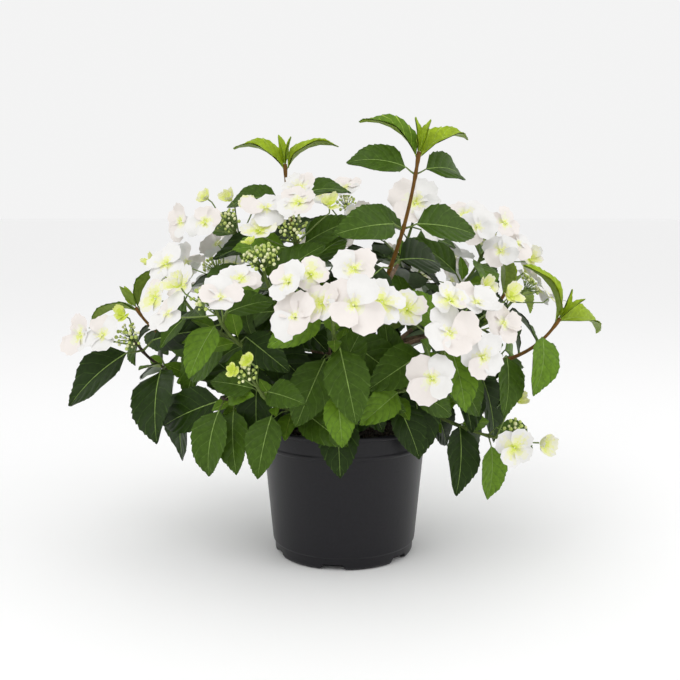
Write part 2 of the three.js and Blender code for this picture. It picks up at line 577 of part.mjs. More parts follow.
masses.forEach((mass) => {
  const { shoot } = mass;
  const parent = shoot.on ? named[shoot.on] : null;
  Object.assign(mass, shootCurve(shoot, parent));
  mass.random = seeded(shoot.seed);
  mass.across = UP.clone().cross(mass.outward);
  const ahead = shoot.at[1] < FRONT_END ? FRONT_LIGHT : 0;
  mass.light = mix([UP, SKY_LIGHT], [mass.outward, SIDE_LIGHT], [AHEAD, ahead]).normalize();
  mass.pairs = shoot.pairs ?? (shoot.leafy ? LEAFY_PAIRS : FLOWERING_PAIRS).slice(0, shoot.leafy ? 5 : 4);
  const length = mass.curve.getLength();
  const leafed = mass.pairs.reduce((sum, step) => sum + step, STEM_SPARE);
  mass.low = !shoot.on && shoot.rise < LOW_RISE;
  mass.split = mass.low ? 0 : Math.max(LEAST_BOUGH, 1 - leafed / length);
  const footRadius = parent ? FORK_FOOT_RADIUS : BOUGH_FOOT_RADIUS;
  mass.stemStart = mass.split + (mass.low ? 0 : GAP / length);
  const boughRings = (growth) => limbRings(mass.curve, 0, mass.split, footRadius + growth,
    STEM_FOOT_RADIUS + growth, BOUGH_SIDES, mass.across);
  mass.boughRings = mass.low ? null : boughRings(0);
  mass.wideRings = mass.low ? null : boughRings(GAP);
  mass.stemRings = limbRings(mass.curve, mass.stemStart, 1, STEM_FOOT_RADIUS, STEM_TIP_RADIUS, STEM_SIDES,
    mass.across);
  if (mass.boughRings) hold(`${mass.name}_bough`, 'limb', loftTriangles(mass.boughRings));
  hold(mass.name, 'stem', loftTriangles(mass.stemRings));
});

// Heads take their space first, then leaves from the tips down, then twigs
masses.filter((mass) => !mass.shoot.leafy).forEach(growHead);

function growTwig(mass, root, along, round, side) {
  const lean = mix([along, TWIG_ALONG], [round, TWIG_OUT]).normalize();
  const tip = mix([root, 1], [lean, TWIG_LENGTH * (0.8 + 0.4 * mass.random())]);
  const spin = mass.random() * 180;
  const rings = straightRings(root, tip, TWIG_RADIUS, TWIG_RADIUS * TWIG_TAPER, TWIG_SIDES);
  const triangles = loftTriangles(rings);
  if (!clear(mass.name, 'twig', triangles)) return;
  hold(mass.name, 'twig', triangles);
  mass.solids.push(loft(rings));
  const twigSide = squareTo(side, lean);
  const { length, open, curl, hang, below } = TWIG_LEAF;
  [0, 180].forEach((half) => {
    growLeaf(mass, tip.clone().lerp(root, below), lean, twigSide, spin + half, length, open, curl, hang);
  });
}

masses.forEach((mass) => {
  const { shoot, random } = mass;
  const ages = shoot.leafy ? LEAFY_AGES : FLOWERING_AGES;
  const length = mass.curve.getLength();
  let below = 0;
  mass.pairs.forEach((step, age) => {
    below += step;
    const t = 1 - below / length;
    const root = stemPoint(mass, t);
    const along = mass.curve.getTangent(t);
    const side = squareTo(mass.across, along);
    const old = Math.min(age + (shoot.aged ?? 0), ages.length.length - 1);
    [0, 180].forEach((half) => {
      const size = ages.length[old] * (shoot.scale ?? 1) * (1 + SIZE_SPREAD * (random() - 0.5));
      const roll = shoot.roll + age * (shoot.turn ?? 90) + half + ROLL_SPREAD * (random() - 0.5);
      const young = shoot.leafy && old < 2;
      const hang = young ? shoot.hang * YOUNG_HANG : Math.min(MOST_HANG, shoot.hang + HANG_STEP * age);
      growLeaf(mass, root, along, side, roll, size, ages.open[old], ages.curl[old], hang, young);
    });
  });
});

masses.forEach((mass) => {
  const length = mass.curve.getLength();
  let below = mass.pairs[0];
  mass.pairs.slice(1).forEach((step) => {
    below += step;
    const t = 1 - below / length;
    const along = mass.curve.getTangent(t);
    const side = squareTo(mass.across, along);
    const above = along.clone().cross(side);
    const angle = mass.random() * 2 * Math.PI;
    const round = mix([side, Math.cos(angle)], [above, Math.sin(angle)]);
    const grows = step > TWIG_STEP && mass.random() < (mass.shoot.twigs ?? TWIG_CHANCE);
    if (grows) growTwig(mass, stemPoint(mass, t), along, round, side);
  });
});

// The pot
function potSolid() {
  const lipBottom = POT_HEIGHT - LIP_HEIGHT;
  const inner = WALL_THICKNESS;
  const profile = [
    [0, 0], [FOOT_RADIUS - FOOT_ROUND, 0], [FOOT_RADIUS, FOOT_ROUND], [FOOT_RADIUS, FOOT_HEIGHT - 1],
    [WALL_FOOT_RADIUS, FOOT_HEIGHT + 1], [WALL_TOP_RADIUS, BAND_BOTTOM - 1], [BAND_RADIUS, BAND_BOTTOM],
    [RIM_RADIUS - LIP_STEP, lipBottom], [RIM_RADIUS, lipBottom + LIP_STEP], [RIM_RADIUS, POT_HEIGHT],
    [RIM_RADIUS - inner - LIP_STEP, POT_HEIGHT], [WALL_TOP_RADIUS - inner, BAND_BOTTOM - 1],
    [WALL_FOOT_RADIUS - inner - 2, FLOOR_THICKNESS], [0, FLOOR_THICKNESS],
  ];
  const shell = solidOf(new THREE.LatheGeometry(profile.map(([r, z]) => new THREE.Vector2(r, z)), POT_SIDES)
    .rotateX(Math.PI / 2));
  const outline = new THREE.Shape();
  outline.moveTo(-NOTCH_WIDTH / 2, -1);
  outline.lineTo(NOTCH_WIDTH / 2, -1);
  outline.lineTo(NOTCH_TOP_WIDTH / 2, NOTCH_HEIGHT);
  outline.lineTo(-NOTCH_TOP_WIDTH / 2, NOTCH_HEIGHT);
  const notches = Array.from({ length: NOTCHES }, (_, i) => {
    const angle = radians(NOTCH_FIRST + (i * 360) / NOTCHES);
    const cutter = new THREE.ExtrudeGeometry(outline, { depth: NOTCH_DEPTH + 6, bevelEnabled: false });
    cutter.rotateX(Math.PI / 2).translate(0, -(FOOT_RADIUS - NOTCH_DEPTH), 0).rotateZ(angle + Math.PI / 2);
    return solidOf(cutter);
  });
  return notches.reduce((body, notch) => body.subtract(notch), shell);
}

// Compost that fills the pot to just below its rim, with a slightly raised middle
function compostSolid() {
  const foot = WALL_FOOT_RADIUS - WALL_THICKNESS - 2 - GAP * 2;
  const slope = (WALL_TOP_RADIUS - WALL_FOOT_RADIUS + 2) / (BAND_BOTTOM - 1 - FLOOR_THICKNESS);
  const edge = BAND_BOTTOM - 6;
  const profile = [[0, FLOOR_THICKNESS + GAP], [foot, FLOOR_THICKNESS + GAP],
    [foot + slope * (edge - FLOOR_THICKNESS) - GAP, edge], [WALL_TOP_RADIUS - 9, COMPOST_TOP - COMPOST_CROWN],
    [CROWN_FLARE_RADIUS + 8, COMPOST_TOP], [0, COMPOST_TOP]];
  return solidOf(new THREE.LatheGeometry(profile.map(([r, z]) => new THREE.Vector2(r, z)), POT_SIDES)
    .rotateX(Math.PI / 2));
}

// The short woody crown, flared where it meets the compost and cut flat there
function crownSolid(growth) {
  const foot = COMPOST_TOP + GAP;
  return loft(CROWN_LEVELS.map(([share, radius]) => {
    const height = share * (CROWN_HEIGHT + growth);
    const centre = vec(CROWN_LEAN[0] * share, CROWN_LEAN[1] * share, foot + height);
    return ringAt(centre, vec(1, 0, 0), vec(0, 1, 0), radius + growth, CROWN_SIDES);
  }));
}

// The largest body of a solid: a loose scrap that a cut leaves is dropped
function whole(solid) {
  return solid.decompose().sort((a, b) => b.volume() - a.volume())[0];
}

function meshOf(name, solid, colour, roughness) {
  const data = whole(solid).getMesh();
  const geometry = new THREE.BufferGeometry();
  geometry.setAttribute('position', new THREE.BufferAttribute(data.vertProperties, 3));
  geometry.setIndex(new THREE.BufferAttribute(data.triVerts, 1));
  geometry.computeVertexNormals();
  const material = new THREE.MeshStandardMaterial({ color: colour, roughness, metalness: 0 });
  const mesh = new THREE.Mesh(geometry, material);
  mesh.name = name;
  return mesh;
}

const shrub = new THREE.Group();
shrub.add(meshOf('pot', potSolid(), POT_BLACK, 0.5));
shrub.add(meshOf('compost', compostSolid(), COMPOST_BROWN, 0.95));
shrub.add(meshOf('woody_crown', crownSolid(0), BARK_BROWN, 0.9));

// Each bough and each mass is cut clear of the woody crown and of the boughs before it
let room = crownSolid(GAP);
masses.forEach((mass) => {
  const stem = loft(mass.stemRings);
  const foliage = wasm.Manifold.union([stem, ...mass.solids]);
  if (mass.boughRings) {
    const bough = loft(mass.boughRings).subtract(room);
    room = room.add(loft(mass.wideRings));
    shrub.add(meshOf(`${mass.name}_bough`, bough, BARK_BROWN, 0.7));
  }
  const colour = mass.shoot.leafy ? FRESH_GREEN : GREEN;
  shrub.add(meshOf(mass.name, mass.low ? foliage.subtract(room) : foliage, colour, 0.5));
});

export default shrub;
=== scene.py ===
"""Looks of a white lacecap hydrangea in its nursery pot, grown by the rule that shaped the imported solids.

Laid out as an add-on: each piece has an operator, and a panel in the 3D view's sidebar lists them. The
growing rule works in millimetres, as its sizes are those of twigs and leaves. Every mesh is in metres.
"""

import math

import bmesh
import bpy
import numpy as np
from bpy.props import FloatProperty, FloatVectorProperty, IntProperty, PointerProperty
from mathutils import Matrix, Vector
from mathutils.bvhtree import BVHTree


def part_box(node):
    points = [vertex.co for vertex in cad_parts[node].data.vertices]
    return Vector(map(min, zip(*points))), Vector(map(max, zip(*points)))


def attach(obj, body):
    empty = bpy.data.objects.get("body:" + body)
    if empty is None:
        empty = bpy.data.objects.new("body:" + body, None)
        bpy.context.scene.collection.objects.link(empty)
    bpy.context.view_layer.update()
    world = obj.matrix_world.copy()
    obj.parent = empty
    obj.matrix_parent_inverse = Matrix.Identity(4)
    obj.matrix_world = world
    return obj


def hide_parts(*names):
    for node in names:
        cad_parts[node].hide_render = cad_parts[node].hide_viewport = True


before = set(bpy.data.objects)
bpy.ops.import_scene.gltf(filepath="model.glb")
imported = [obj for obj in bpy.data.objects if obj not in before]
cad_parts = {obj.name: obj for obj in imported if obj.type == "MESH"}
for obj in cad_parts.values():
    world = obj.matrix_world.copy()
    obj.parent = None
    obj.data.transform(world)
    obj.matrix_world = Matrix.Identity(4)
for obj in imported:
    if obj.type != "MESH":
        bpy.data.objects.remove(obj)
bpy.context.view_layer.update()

POT_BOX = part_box("pot")

bl_info = {
    "name": "Potted hydrangea",
    "version": (1, 0, 0),
    "blender": (4, 5, 0),
    "location": "View3D > Sidebar > Hydrangea",
    "description": "Builds the pot, wood, leaves and blossom of a lacecap hydrangea",
    "category": "Add Mesh",
}

MM = 0.001
ROOT = "root"
FLOOR_REACH = 120  # radius of the floor, in metres

# Pot and woody crown, as the solids have them
POT_HEIGHT = 149
POT_SIDES = 96
COMPOST_SIDES = 64
MERGE_DISTANCE = 1e-6
FOOT_RADIUS = 78
WALL_FOOT_RADIUS = 80.5
WALL_TOP_RADIUS = 90.5
WALL_THICKNESS = 1.8
FLOOR_THICKNESS = 8
BAND_BOTTOM = 124
BAND_RADIUS = 92.6
RIM_RADIUS = 96
LIP_HEIGHT = 4.5
POT_INNER_RADIUS = 87
NOTCHES = 6
NOTCH_FIRST = -99
NOTCH_WIDTH = 30
NOTCH_TOP_WIDTH = 21
NOTCH_HEIGHT = 6.5
NOTCH_DEPTH = 14
COMPOST_TOP = 137
COMPOST_CROWN = 4
CROWN_HEIGHT = 34
CROWN_FLARE_RADIUS = 23
CROWN_LEVELS = [(0, 23), (0.12, 19), (0.4, 14), (0.8, 13), (1, 11)]
CROWN_LEAN = (4, -3)

# Limbs, as radii
GAP = 0.3
BOUGH_FOOT_RADIUS = 3.5
FORK_FOOT_RADIUS = 2.8
STEM_FOOT_RADIUS = 2.2
STEM_TIP_RADIUS = 1.6
TWIG_RADIUS = 1.5
RAY_RADIUS = 1.1
TWIG_SIDES = 3
SEGMENT_LENGTH = 36
HANDLE = 0.4
STEM_SPARE = 14
BOUGH_SIDES = 5
STEM_SOLID_SIDES = 4
LEAST_BOUGH = 0.25
LOW_RISE = 50
LOW_SPRING = (9, 14)
HIGH_SPRING = (5, 25)
FORK_KEEP = 0.6
FORK_TURN = 0.7
ARRIVAL = (0.6, 0.5, 0.2)
ARCHED_ARRIVAL = (0.6, -0.2, 0.8)

# Leaves: an age counts pairs down from the tip of the stem
CLEAR = 1.7
SAMPLE_STEP = 3
LEAF_WIDTH = 0.6
LEAST_CURL = 0.01
LEAF_THICKNESS = 1.5
LEAF_FOLD = math.radians(14)
YOUNG_LEAF_WIDTH = 0.42
YOUNG_LEAF_FOLD = math.radians(30)
LEAF_STATIONS = (0.16, 0.42, 0.74)
SMALL_LEAF_STATIONS = (0.24, 0.6)
SMALL_LEAF = 82
PETIOLE_SHARE = 0.2
YOUNG_PETIOLE_SHARE = 0.07
PETIOLE_RADIUS = 1.3
ROOT_SINK = 0.9
ROOT_RISE = 0.5  # of the stalk's radius
NECK_WIDTH = 1.6
NECK_HEIGHT = 0.3
KEEL_FOOT = 1.2  # depth of the blade's keel at its base, of LEAF_THICKNESS
KEEL_TAPER = 0.5
BROADEST = 0.75  # these two shape the blade's outline
FULLNESS = 0.85
LIGHT_PULL = 0.8
YOUNG_LIGHT_PULL = 0.5
SKY_LIGHT = 0.6
SIDE_LIGHT = 0.4
FRONT_LIGHT = 0.75
FRONT_END = 60
LEAF_TURNS = (0, 20, -20, 42, -42)
LEAFY_AGES = {"length": (33, 70, 62, 76, 80), "open": (8, 30, 62, 68, 72), "curl": (12, 84, 58, 30, 28)}
LEAFY_PAIRS = (2, 5, 30, 50, 44)
FLOWERING_AGES = {"length": (60, 74, 80, 80), "open": (62, 68, 72, 74), "curl": (34, 34, 30, 28)}
FLOWERING_PAIRS = (12, 32, 36, 36)
HANG_STEP = 0.06
MOST_HANG = 0.75
YOUNG_HANG = 0.3
SIZE_SPREAD = 0.14
ROLL_SPREAD = 16

# Flower heads
HEAD_DROP = 34
HEAD_REACH = 40
HEAD_DOME = 7
FLORET_TILT = 0.24
FLORET_LEAN = 0.24
LEAN_TURNS = 4
FLORET_LIFTS = (0, 5, -5, 10, -10)
RAY_STEP = 2.6
FLORET_THICKNESS = 1.6
SEPALS = 4
FLORET_NOTCH = 0.78
SEPAL_SHOULDER = 24
BUD_LEVELS = ((0, 0.3), (0.6, 1), (1.1, 0.6))
BUD_SIDES = 5
BUD_DROP = 1.2
CLOCK_SPREAD = 30
REACH_RANGE = (0.75, 0.4)  # least share, and what chance adds to it
WIDTH_RANGE = (40, 14)
RAY_FIRST = 0.6
UPRIGHT = 0.9  # a direction steeper than this takes its sides from the front
YOUNG_FLORET = 38
YOUNG_CUP = 0.45
OPEN_CUP = 0.08
TWIG_CHANCE = 0.19
TWIG_LENGTH = 46
TWIG_LEAF = {"length": 46, "open_": 48, "curl": 40, "hang": 0.1}
TWIG_LEAF_BELOW = 0.06
TWIG_TAPER = 0.8
TWIG_ALONG = 0.75
TWIG_OUT = 0.65
TWIG_STEP = 20
TWIG_RANGE = (0.8, 0.4)

# One row for each mass, as in the source: how steeply its bough springs, where its head or tip lies and
# which way that faces. A floret is a clock angle in degrees, its reach from the head's middle and its
# width. The bark is the stem's finish.
SHOOTS = [
    dict(name="front_head", rise=66, at=(-11, -205, 307), face=(0, -0.84, 0.55), roll=0, turn=112,
         hang=0.42, seed=11, florets=((-120, 39, 48), (-135, 14, 40), (130, 24, 56), (-75, 41, 44),
         (-42, 29, 38), (35, 33, 46), (92, 44, 44)), buds=10),
    dict(name="right_head", rise=60, at=(114, -160, 273), face=(0.25, -0.85, 0.45), roll=60, hang=0.38,
         seed=12, florets=((35, 29, 54), (-115, 21, 56), (-142, 58, 50), (82, 47, 46), (-32, 27, 38),
         (-65, 56, 42), (150, 33, 48), (38, 58, 32), (60, 68, 32)), buds=14),
    dict(name="left_head", rise=62, at=(-131, -150, 306), face=(-0.2, -0.65, 0.72), roll=88, hang=0.42,
         seed=13, florets=((-125, 42, 46), (-98, 24, 36), (-30, 19, 36), (55, 34, 44), (125, 26, 48)),
         buds=18),
    dict(name="tall_right_tip", rise=74, at=(72, -118, 438), face=(0.12, -0.05, 1), roll=-30, turn=12,
         hang=0.06, seed=14, leafy=True, twigs=0, pairs=(2, 5, 13, 54, 48), bark="red"),
    dict(name="top_head", rise=78, at=(-53, -70, 368), face=(0, -0.84, 0.52), roll=40, hang=0.1, seed=15,
         florets=((-52, 36, 50), (17, 20, 43), (55, 46, 30), (8, 44, 40), (-100, 34, 38)), buds=16),
    dict(name="tall_left_tip", rise=82, at=(-65, 14, 433), face=(-0.02, 0.02, 1), roll=90, turn=10, hang=0,
         seed=23, leafy=True, twigs=0, pairs=(2, 5, 32, 44), bark="red"),
    dict(name="upper_left_head", rise=72, at=(-130, -10, 374), face=(-0.25, -0.85, 0.45), roll=15,
         hang=0.15, seed=16, florets=((-88, 58, 48), (-110, 21, 44), (-46, 38, 28), (9, 22, 31),
         (54, 29, 28)), buds=14),
    dict(name="far_left_head", rise=38, at=(-233, -45, 251), face=(-0.15, -0.9, 0.42), roll=78, hang=0.3,
         seed=17, florets=((-88, 57, 48), (-96, 25, 48), (-8, 20, 28)), buds=15, pairs=(12, 38, 38), aged=1,
         scale=1.22, bark="dark"),
    dict(name="right_back_head", rise=68, at=(166, 15, 350), face=(0.2, -0.82, 0.55), roll=0, hang=0.2,
         seed=18, florets=((-30, 44, 52), (-58, 22, 50), (165, 18, 44), (96, 30, 43), (42, 26, 40),
         (104, 52, 34)), buds=13),
    dict(name="back_left_head", rise=62, at=(-165, 130, 322), face=(-0.5, 0.5, 0.7), roll=30, hang=0.3,
         seed=19, count=6, spread=38, buds=15),
    dict(name="back_head", rise=66, at=(-30, 195, 318), face=(-0.1, 0.75, 0.65), roll=0, hang=0.35, seed=20,
         count=7, spread=42, buds=13),
    dict(name="back_right_head", rise=60, at=(108, 172, 325), face=(0.4, 0.7, 0.6), roll=60, hang=0.35,
         seed=21, count=6, spread=40, buds=15),
    dict(name="top_right_head", on="tall_right_tip", along=0.62, at=(84, 48, 390), face=(0.1, -0.72, 0.68),
         roll=70, hang=0.1, seed=22, florets=((-140, 6, 66), (150, 40, 42)), buds=9, pairs=(22, 40)),
    dict(name="green_bud_head", on="top_head", along=0.45, at=(-84, -104, 343), face=(-0.1, -0.6, 0.8),
         roll=70, hang=0.2, seed=24, florets=((-80, 9, 20),), buds=20, pairs=(16, 40)),
    dict(name="left_mid_head", on="left_head", along=0.75, at=(-189, -62, 318), face=(-0.45, -0.5, 0.72),
         roll=20, hang=0.3, seed=25, florets=((-65, 39, 28), (30, 8, 44), (105, 40, 42), (158, 34, 38)),
         buds=15, pairs=(26, 36)),
    dict(name="right_tip", on="right_head", along=0.6, at=(226, -62, 270), face=(0.5, 0, 0.86), roll=90,
         turn=35, hang=0.5, seed=26, leafy=True, pairs=(2, 5, 26, 46), bark="red"),
    dict(name="right_side_head", on="right_back_head", along=0.6, at=(225, 62, 300), face=(0.75, 0.1, 0.6),
         roll=10, hang=0.3, seed=27, count=5, spread=34, buds=14, pairs=(20, 38)),
    dict(name="back_top_head", on="back_head", along=0.65, at=(4, 92, 396), face=(0.05, -0.7, 0.7), roll=30,
         hang=0.1, seed=28, florets=((-3, 22, 48), (155, 30, 38), (-67, 32, 40)), buds=13, pairs=(20, 40)),
    dict(name="back_left_tip", on="back_left_head", along=0.65, at=(-248, 78, 268), face=(-0.5, 0.15, 0.85),
         roll=15, hang=0.25, seed=29, leafy=True, pairs=(2, 5, 32, 42), bark="red"),
    dict(name="back_right_tip", on="back_right_head", along=0.65, at=(205, 150, 280), face=(0.5, 0.3, 0.8),
         roll=15, hang=0.25, seed=30, leafy=True, pairs=(2, 5, 32, 42), bark="red"),
    dict(name="low_left_buds", rise=38, at=(-96, -160, 232), face=(-0.3, -0.7, 0.6), roll=0, hang=0.14,
         seed=31, florets=((60, 9, 22), (-110, 10, 20)), buds=13, pairs=(12, 30, 34, 36), scale=0.85),
    dict(name="low_front_leaves", rise=46, at=(-8, -146, 214), face=(0.1, -0.9, 0.35), roll=90, hang=0.2,
         seed=32, leafy=True, aged=2, pairs=(3, 26, 32, 32), scale=0.9),
    dict(name="low_front_right_leaves", rise=42, at=(60, -120, 204), face=(0.4, -0.9, 0.3), roll=20,
         hang=0.2, seed=33, leafy=True, aged=2, pairs=(3, 26, 30, 30), scale=0.85),
    dict(name="low_right_head", rise=48, arch=True, at=(182, -84, 155), face=(0.35, -0.82, 0.45), roll=80,
         hang=0.5, seed=34, florets=((-150, 20, 42), (122, 28, 36), (14, 34, 26)), buds=14,
         pairs=(16, 36, 40)),
    dict(name="low_left_leaves", rise=34, at=(-124, -100, 192), face=(-0.5, -0.8, 0.25), roll=90, hang=0.1,
         seed=35, leafy=True, aged=2, twigs=0, pairs=(3, 14, 34), scale=1.12, bark="dark"),
    dict(name="low_right_leaves", rise=42, at=(180, 14, 220), face=(0.85, -0.3, 0.4), roll=0, hang=0.35,
         seed=38, leafy=True, aged=2, twigs=0, pairs=(4, 30, 36), scale=1.1),
    dict(name="low_back_left_leaves", rise=38, at=(-115, 140, 205), face=(-0.5, 0.8, 0.3), roll=0,
         hang=0.35, seed=36, leafy=True, aged=2, twigs=0, pairs=(4, 30, 34)),
    dict(name="low_back_right_leaves", rise=38, at=(90, 160, 205), face=(0.4, 0.85, 0.3), roll=90,
         hang=0.35, seed=37, leafy=True, aged=2, twigs=0, pairs=(4, 30, 34)),
]

# Finer growth that only the looks have
FINE_CLEAR = 0.5  # least distance from a finer leaf to its neighbours, in mm
FINE_SEED = 71
REFILL_SCALES = (0.8, 0.62)  # sizes that a leaf with no room tries again
REFILL_TURNS = (0, 34, -34, 68, -68)
AXIL_LENGTH = 30  # young leaves in the angle between a stem and its older leaves
AXIL_OPEN = 38
AXIL_CURL = 24
AXIL_HANG = 0.05
AXIL_RANGE = (0.7, 0.6)
REFILL_CURL = 36
BOUGH_STEP = 30  # between pairs of leaves down a bough
BOUGH_LEAF = 70
BOUGH_LEAF_OPEN = 66
BOUGH_LEAF_CURL = 34
BOUGH_LEAF_HANG = 0.3
BOUGH_LEAF_RANGE = (0.75, 0.4)
BOUGH_LEAF_TURN = 30
BOUGH_LEAF_AGE = 5
BOUGH_TOP = 10
BOUGH_BARE = 62  # from the bough's foot to its lowest leaves
BUD_SPACING = 4.3
BUD_RADIUS = 2
BUD_SIZES = (0.65, 1.15)
PALE_CHANCE = 0.4
BUD_FILL = 2.6
FORK_RAYS = 7
SEPAL_COLUMNS = 11
SEPAL_CUP = 1.5  # how steeply a sepal rises, of its floret's cup
SEPAL_ROWS = (0.05, 0.14, 0.24, 0.36, 0.5, 0.66, 0.84, 1.0)
SEPAL_FAN = (66, 17)  # half width of a sepal in degrees, and what it loses to the tip
SEPAL_ROUND = (0.26, 2.7)  # how much shorter a sepal is at its sides, and how suddenly
SEPAL_NOTCH = 0.03
SEPAL_SIZES = (0.92, 1.12)
SEPAL_TILTS = (-0.26, 0.36)
SEPAL_TWIST = 0.16
BLUSH_CHANCE = 0.45
RIPE_SPREAD = (0.6, 1.35)
SEPAL_PLEAT = 0.12  # height of the fine pleats along a sepal, in mm
SEPAL_TONES = (0.12, 0.24, 0.38, 0.55)  # where base, lime, cream and ivory end on a ripe sepal
SEPAL_RIPE = ((20, 30, 40, 50), (0.12, 0.3, 0.75, 1.7))  # floret widths, and how ripe they are

# Leaf blades
VEIN_PAIRS = 6
FINE_VEIN_PAIRS = 3
VEIN_HALF = 0.0048  # half of a vein's width at the midrib, of the blade's length
VEIN_SLANT = 1.5
BLADE_COLUMNS = (0, 0.55, 1)
QUILT_COLUMNS = (0.0, 1.0, 0.3)
YOUNG_QUILT = 0.5
QUILT = 0.014  # how far the blade rises between two veins, of its length
TOOTH = 0.012
TOOTH_OUT = 0.6  # of TOOTH, and TOOTH_BACK between two teeth
TOOTH_BACK = -1.0
TOOTH_RANGE = (0.5, 1.3)
TOOTH_LEAN = 0.3  # how far a tooth leans to the tip, of the way to the next line
WAVE = 0.016
WAVES = 2.1
UNDER_DROP = 0.8  # from the blade down to its pale underside, in mm
UNDER_COLUMNS = (0, 0.5, 0.96)
STALK_SIDES = 6
STEM_SIDES = 10
RIB_RADIUS = 0.85
RIB_PIECES = 6
RIB_END = 0.96
RIB_TIP_RADIUS = 0.22
STALK_RADII = (1.35, 1.05)
STALK_SAG = 0.4
STALK_LEAF = 76  # length of the leaf that has a stalk of full size
MOST_STALK = 1.15
STEM_STEP = 4  # between the rings of a leafy stem, in mm
LEAST_RINGS = 4
NODE_SWELL = 0.38
NODE_REACH = 3.2
YOUNG_AGES = 2
USUAL_AGE = 3
FINE_LEAF = 50  # a shorter leaf has fewer veins

# Finishes: scale, strength and depth of the relief, and how dark and how light the mottling goes
POT_RELIEF = (420, 0.12, 0.0004)
POT_TONES = (0.85, 1.2)
BARK_RELIEF = (160, 0.7, 0.0015, (1, 1, 0.16))
BARK_TONES = (0.45, 1.5)
STEM_RELIEF = (300, 0.25, 0.0005, (1, 1, 0.3))
STEM_TONES = (0.75, 1.3)
LEAF_RELIEF = (260, 0.35, 0.0006)
LEAF_TONES = (0.84, 1.18)
SOIL_RELIEF = (500, 0.8, 0.001)
SOIL_TONES = (0.6, 1.5)
CRUMB_TONES = (0.8, 1.3, 2.4)
SEPAL_RELIEF = (340, 0.25, 0.0005)
BUD_RELIEF = (400, 0.2, 0.0004)
RAY_RELIEF = (300, 0.2, 0.0004)
POT_GLOSS = 0.3
STEM_GLOSS = 0.2
LEAF_GLOSS = 0.14

UP = np.array((0.0, 0.0, 1.0))
DOWN = -UP
AHEAD = np.array((0.0, -1.0, 0.0))


def unit(vector):
    return vector / np.linalg.norm(vector)


def square_to(vector, axis):
    return unit(vector - axis * np.dot(vector, axis))


def face_sides(normal):
    """Two directions square to a face's normal and to each other."""
    side = square_to(UP if abs(normal[2]) < UPRIGHT else AHEAD, normal)
    return side, np.cross(normal, side)


def between(draw, limits):
    """A number from the first limit up, to which chance adds no more than the second."""
    return limits[0] + limits[1] * draw()


def seeded(seed):
    """A small generator of even random numbers from 0 to 1, the same as the source's."""
    mask = 0xFFFFFFFF
    state = seed & mask

    def draw():
        nonlocal state
        state = (state + 0x6D2B79F5) & mask
        mixed = ((state ^ (state >> 15)) * (1 | state)) & mask
        mixed = ((mixed + (((mixed ^ (mixed >> 7)) * (61 | mixed)) & mask)) & mask) ^ mixed
        return (mixed ^ (mixed >> 14)) / 4294967296

    return draw


class Bend:
    """A cubic Bezier curve from a shoot's foot to its top."""

    def __init__(self, foot, leave, arrive, top):
        self.poles = np.array((foot, leave, arrive, top))
        steps = self.points(np.linspace(0, 1, 201))
        self.length = float(np.linalg.norm(np.diff(steps, axis=0), axis=1).sum())

    def points(self, shares):
        t = np.asarray(shares, float).reshape(-1, 1)
        weights = np.hstack(((1 - t) ** 3, 3 * t * (1 - t) ** 2, 3 * t * t * (1 - t), t**3))
        return weights @ self.poles

    def point(self, share):
        return self.points(share)[0]

    def tangent(self, share):
        low, high = max(share - 0.0001, 0), min(share + 0.0001, 1)
        return unit(self.point(high) - self.point(low))


def ring_at(centre, side, above, radius, sides):
    angles = np.arange(sides) / sides * 2 * math.pi
    return centre + radius * (np.outer(np.cos(angles), side) + np.outer(np.sin(angles), above))


def limb_pieces(curve, start, end):
    return max(1, math.floor(curve.length * (end - start) / SEGMENT_LENGTH + 0.5))


def limb_rings(curve, start, end, foot_radius, tip_radius, sides, across):
    count = limb_pieces(curve, start, end)
    rings = []
    for i in range(count + 1):
        t = start + (end - start) * i / count
        along = curve.tangent(t)
        side = square_to(across, along)
        above = np.cross(along, side)
        radius = foot_radius + (tip_radius - foot_radius) * i / count
        rings.append(ring_at(curve.point(t), side, above, radius, sides))
    return rings


def limb_point(curve, start, end, t):
    count = limb_pieces(curve, start, end)
    place = (t - start) / (end - start) * count
    piece = min(max(math.floor(place), 0), count - 1)
    first, second = curve.points([start + (end - start) * i / count for i in (piece, piece + 1)])
    return first + (second - first) * (place - piece)


def straight_rings(foot, tip, foot_radius, tip_radius, sides):
    along = unit(tip - foot)
    side = square_to(np.array((1.0, 0, 0) if abs(along[0]) < 0.8 else (0, 1.0, 0)), along)
    above = np.cross(along, side)
    return [ring_at(foot, side, above, foot_radius, sides), ring_at(tip, side, above, tip_radius, sides)]


def loft_faces(rings, sides, caps=True):
    """Triangles of a closed loft through that many rings, each with that many points."""
    faces = []
    for ring in range(1, rings):
        low, high = (ring - 1) * sides, ring * sides
        for i in range(sides):
            following = (i + 1) % sides
            faces.append((low + i, low + following, high + following))
            faces.append((low + i, high + following, high + i))
    if caps:
        last = (rings - 1) * sides
        faces += [(0, i + 1, i) for i in range(1, sides - 1)]
        faces += [(last, last + i, last + i + 1) for i in range(1, sides - 1)]
    return faces


